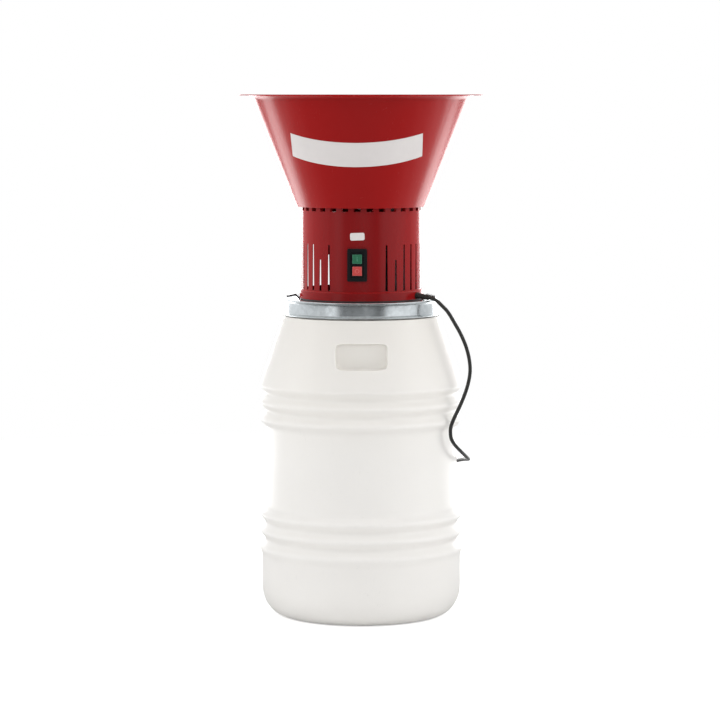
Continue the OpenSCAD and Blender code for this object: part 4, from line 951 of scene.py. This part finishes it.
    def inset(self, shape, region, width):
        """Inset the region and give its vertices."""
        bmesh.ops.inset_region(shape, faces=region, thickness=width, depth=0.0, use_boundary=True,
                               use_even_offset=True)
        return {vert for face in region for vert in face.verts}


class MILL_OT_cover(bpy.types.Operator):
    """Spin the galvanised cover with its rolled bead and lip"""
    bl_idname = "mill.cover"
    bl_label = "Cover"

    def execute(self, context):
        s = context.scene.mill_cover
        low = s.top - s.height
        bead = (s.lip_radius - s.bead, s.top - s.sheet / 2)
        lip = (s.lip_radius - s.lip, low + s.lip)
        top = rounded([(s.hole_radius, s.top), (bead[0] - 2.6 * MM, s.top, 1.2 * MM),
                       (bead[0] - 1.5 * MM, bead[1] + 1.6 * MM)])
        roll = arc(bead, s.bead, 120, -128, 16)
        band = rounded([roll[-1], (s.radius, bead[1] - 3.4 * MM, 1.2 * MM),
                        (s.radius, lip[1] + 3.6 * MM, 1.5 * MM), (lip[0] - 0.4 * MM, lip[1] + s.lip)])[1:]
        curl = arc(lip, s.lip, 90, -90, 12)
        inside, under = s.radius - s.sheet, s.top - s.sheet
        inner = rounded([(lip[0], low), (inside, low, 2.0 * MM), (inside, under, 1.5 * MM),
                         (s.hole_radius, under)])[1:]
        shape = spun(top[:-1] + roll + band[:-1] + curl + inner, 180, closed=True)
        piece("cover_spinning", shape, "mill", galvanised(), ["drum_cover", "cover_band"], 50.0)
        return {"FINISHED"}


class MILL_OT_base(bpy.types.Operator):
    """Finish the black base plate with its bent ears, and its screws"""
    bl_idname = "mill.base"
    bl_label = "Base plate"

    def execute(self, context):
        soften_all("mill", ("base_plate", black_enamel(), 0.6), ("base_screws", bright_zinc(), 0.3))
        return {"FINISHED"}


class MILL_OT_housing(bpy.types.Operator):
    """Finish the slotted housing and the ring of openings above it"""
    bl_idname = "mill.housing"
    bl_label = "Housing"

    def execute(self, context):
        # Painted shade: this enamel is darker than the hopper's, standing in for the hopper's shadow on the
        # housing
        paint = enamel("Housing enamel", context.scene.mill_colours.housing, 0.15, Specular_IOR_Level=0.24,
                       Sheen_Weight=0.7)
        soften_all("mill", ("housing", paint, 0.35), ("vent_ring", paint, 0.35))
        return {"FINISHED"}


class MILL_OT_hopper(bpy.types.Operator):
    """Finish the hopper with its thin rim, and its screws"""
    bl_idname = "mill.hopper"
    bl_label = "Hopper"

    def execute(self, context):
        paint = enamel("Hopper enamel", context.scene.mill_colours.hopper, 0.22, Specular_IOR_Level=0.45,
                       Sheen_Weight=0.5)
        soften_all("mill", ("hopper", paint, 0.5), ("hopper_screws", bright_zinc(), 0.3))
        return {"FINISHED"}


class MILL_OT_labels(bpy.types.Operator):
    """Finish the bare hopper label and the bare housing label"""
    bl_idname = "mill.labels"
    bl_label = "Labels"

    def execute(self, context):
        dress(label_film(), "hopper_label", "small_label")
        return {"FINISHED"}


class MILL_OT_feed(bpy.types.Operator):
    """Finish the feed funnel, the duct, and the shutter with its knob and pin"""
    bl_idname = "mill.feed"
    bl_label = "Feed"

    def execute(self, context):
        sheet, zinc = plain_sheet(), bright_zinc()
        soften_all("mill", ("feed_funnel", sheet, 0.3), ("feed_duct", sheet, 0.3))
        soften_all("shutter", ("feed_shutter", sheet, 0.4), ("shutter_knob", black_moulding(), 0.8))
        soften_all("mill", ("shutter_pin", zinc, 0.4), ("shutter_washer", zinc, 0.2))
        return {"FINISHED"}


# How deep in a button the face of its mark can lie, and how far from the middle it can reach
MARK_DEPTHS = (0.3 * MM, 1.2 * MM)
MARK_REACH = 7.0 * MM


class MILL_OT_switch(bpy.types.Operator):
    """Finish the switch: frame, body, two marked buttons and their springs"""
    bl_idname = "mill.switch"
    bl_label = "Switch"

    def execute(self, context):
        black = black_moulding()
        soften_all("mill", ("switch_frame", black, 0.5, 3), ("switch_body", black, 0.4))
        for body in ("start", "stop"):
            self.button(body, context.scene.mill_colours)
        for body in ("start", "stop"):
            self.spring(body)
        return {"FINISHED"}

    def button(self, body, colours):
        """A button whose mark has a colour of its own."""
        node = body + "_button"
        title = body.capitalize() + " button"
        moulding = plain_finish(title, getattr(colours, body), 0.3, grain=0.00003)
        mark = plain_finish(title + " mark", getattr(colours, body + "_mark"), 0.45, grain=0.00003)
        button = softened(node, body, moulding, 0.35 * MM, segments=3)
        button.data.materials.append(mark)
        low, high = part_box(node)
        middle = (low + high) / 2
        for face in button.data.polygons:
            spot = face.center
            near = max(abs(spot.x - middle.x), abs(spot.z - middle.z)) < MARK_REACH
            if near and MARK_DEPTHS[0] < spot.y - low.y < MARK_DEPTHS[1] and face.normal.y < -0.9:
                face.material_index = 1

    def spring(self, body):
        """A coil spring under its button, finished on a mesh of its own."""
        node = body + "_spring"
        wire = steel_finish("Spring wire", (0.5, 0.51, 0.53), 0.25)
        spring = piece(node + "_finished", merged_copy(node), "mill", wire, [node], 50.0)
        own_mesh(spring)


class MILL_OT_motor(bpy.types.Operator):
    """Finish the motor, its fan and cowl, the capacitor and the terminals"""
    bl_idname = "mill.motor"
    bl_label = "Motor"

    def execute(self, context):
        black, alloy = black_enamel(), cast_alloy()
        paint = plain_finish("Motor enamel", (0.022, 0.024, 0.028), 0.42, grain=0.0001)
        stack = layered("Lamination stack", (0.20, 0.20, 0.21), 0.4, 1.0 * MM, 0.0001)
        wire = layered("Copper winding", context.scene.mill_colours.copper, 0.3, 1.2 * MM, 0.0004)
        bearing = steel_finish("Bearing steel", (0.66, 0.67, 0.68), 0.14, lines=0.1)
        can = steel_finish("Drawn can", (0.60, 0.61, 0.62), 0.3)
        cream = plain_finish("Cream moulding", (0.60, 0.54, 0.42), 0.45)
        soften_all("mill", ("motor_frame", paint, 0.4), ("fan_cowl", black, 0.4),
                   ("lower_end_bell", alloy, 0.8), ("upper_end_bell", alloy, 0.8),
                   ("stator_core", stack, 0.2), ("stator_windings", wire, 2.0, 3),
                   ("motor_bolts", bright_zinc(), 0.3), ("bearing_outer_races", bearing, 0.5),
                   ("shaft_seal", seal_rubber(), 0.3), ("capacitor", can, 0.8),
                   ("capacitor_clamp", black, 0.4), ("terminal_block", cream, 0.6))
        soften_all("rotor", ("rotor_core", stack, 0.5), ("cooling_fan", black_moulding(), 0.4),
                   ("bearing_inner_races", bearing, 0.4), ("rotor_shaft", ground_steel(), 0.5))
        return {"FINISHED"}


class MILL_OT_chamber(bpy.types.Operator):
    """Finish the grinding chamber: sieve, floor, studs, wing nuts and blades"""
    bl_idname = "mill.chamber"
    bl_label = "Grinding chamber"

    def execute(self, context):
        ground, zinc = ground_steel(), bright_zinc()
        soften_all("mill", ("sieve", ground, 0.25), ("chamber_floor", plain_sheet(), 0.4),
                   ("chamber_studs", zinc, 0.4), ("wing_nuts", zinc, 0.6))
        soften_all("rotor", ("blade_collar", ground, 0.6), ("upper_blade", ground, 0.5),
                   ("lower_blade", ground, 0.5), ("blade_nut", zinc, 0.6))
        return {"FINISHED"}


STEPS = (MILL_OT_stage, MILL_OT_cord, MILL_OT_drum, MILL_OT_cover, MILL_OT_base, MILL_OT_housing,
         MILL_OT_hopper, MILL_OT_labels, MILL_OT_feed, MILL_OT_switch, MILL_OT_motor, MILL_OT_chamber)
SETTINGS = {"mill_drum": MillDrumSizes, "mill_cover": MillCoverSizes, "mill_cord": MillCordSizes,
            "mill_colours": MillColours, "mill_wear": MillWear, "mill_stage": MillStage}


class MILL_PT_sidebar(bpy.types.Panel):
    """The mill's settings and the steps that build it"""
    bl_idname = "MILL_PT_sidebar"
    bl_label = "Electric Grain Mill"
    bl_space_type = "VIEW_3D"
    bl_region_type = "UI"
    bl_category = "Mill"

    def draw(self, context):
        for step in STEPS:
            self.layout.operator(step.bl_idname)
        for group in SETTINGS:
            box = self.layout.box()
            settings = getattr(context.scene, group)
            for label in settings.__annotations__:
                box.prop(settings, label)


def register():
    for group in (*SETTINGS.values(), *STEPS, MILL_PT_sidebar):
        bpy.utils.register_class(group)
    for label, group in SETTINGS.items():
        setattr(bpy.types.Scene, label, bpy.props.PointerProperty(type=group))


def unregister():
    for label in SETTINGS:
        delattr(bpy.types.Scene, label)
    for group in reversed((*SETTINGS.values(), *STEPS, MILL_PT_sidebar)):
        bpy.utils.unregister_class(group)


def main():
    register()
    for step in STEPS:
        area, name = step.bl_idname.split(".")
        if getattr(getattr(bpy.ops, area), name)() != {"FINISHED"}:
            raise RuntimeError(step.bl_label + " wasn't finished")


if __name__ == "__main__":
    main()
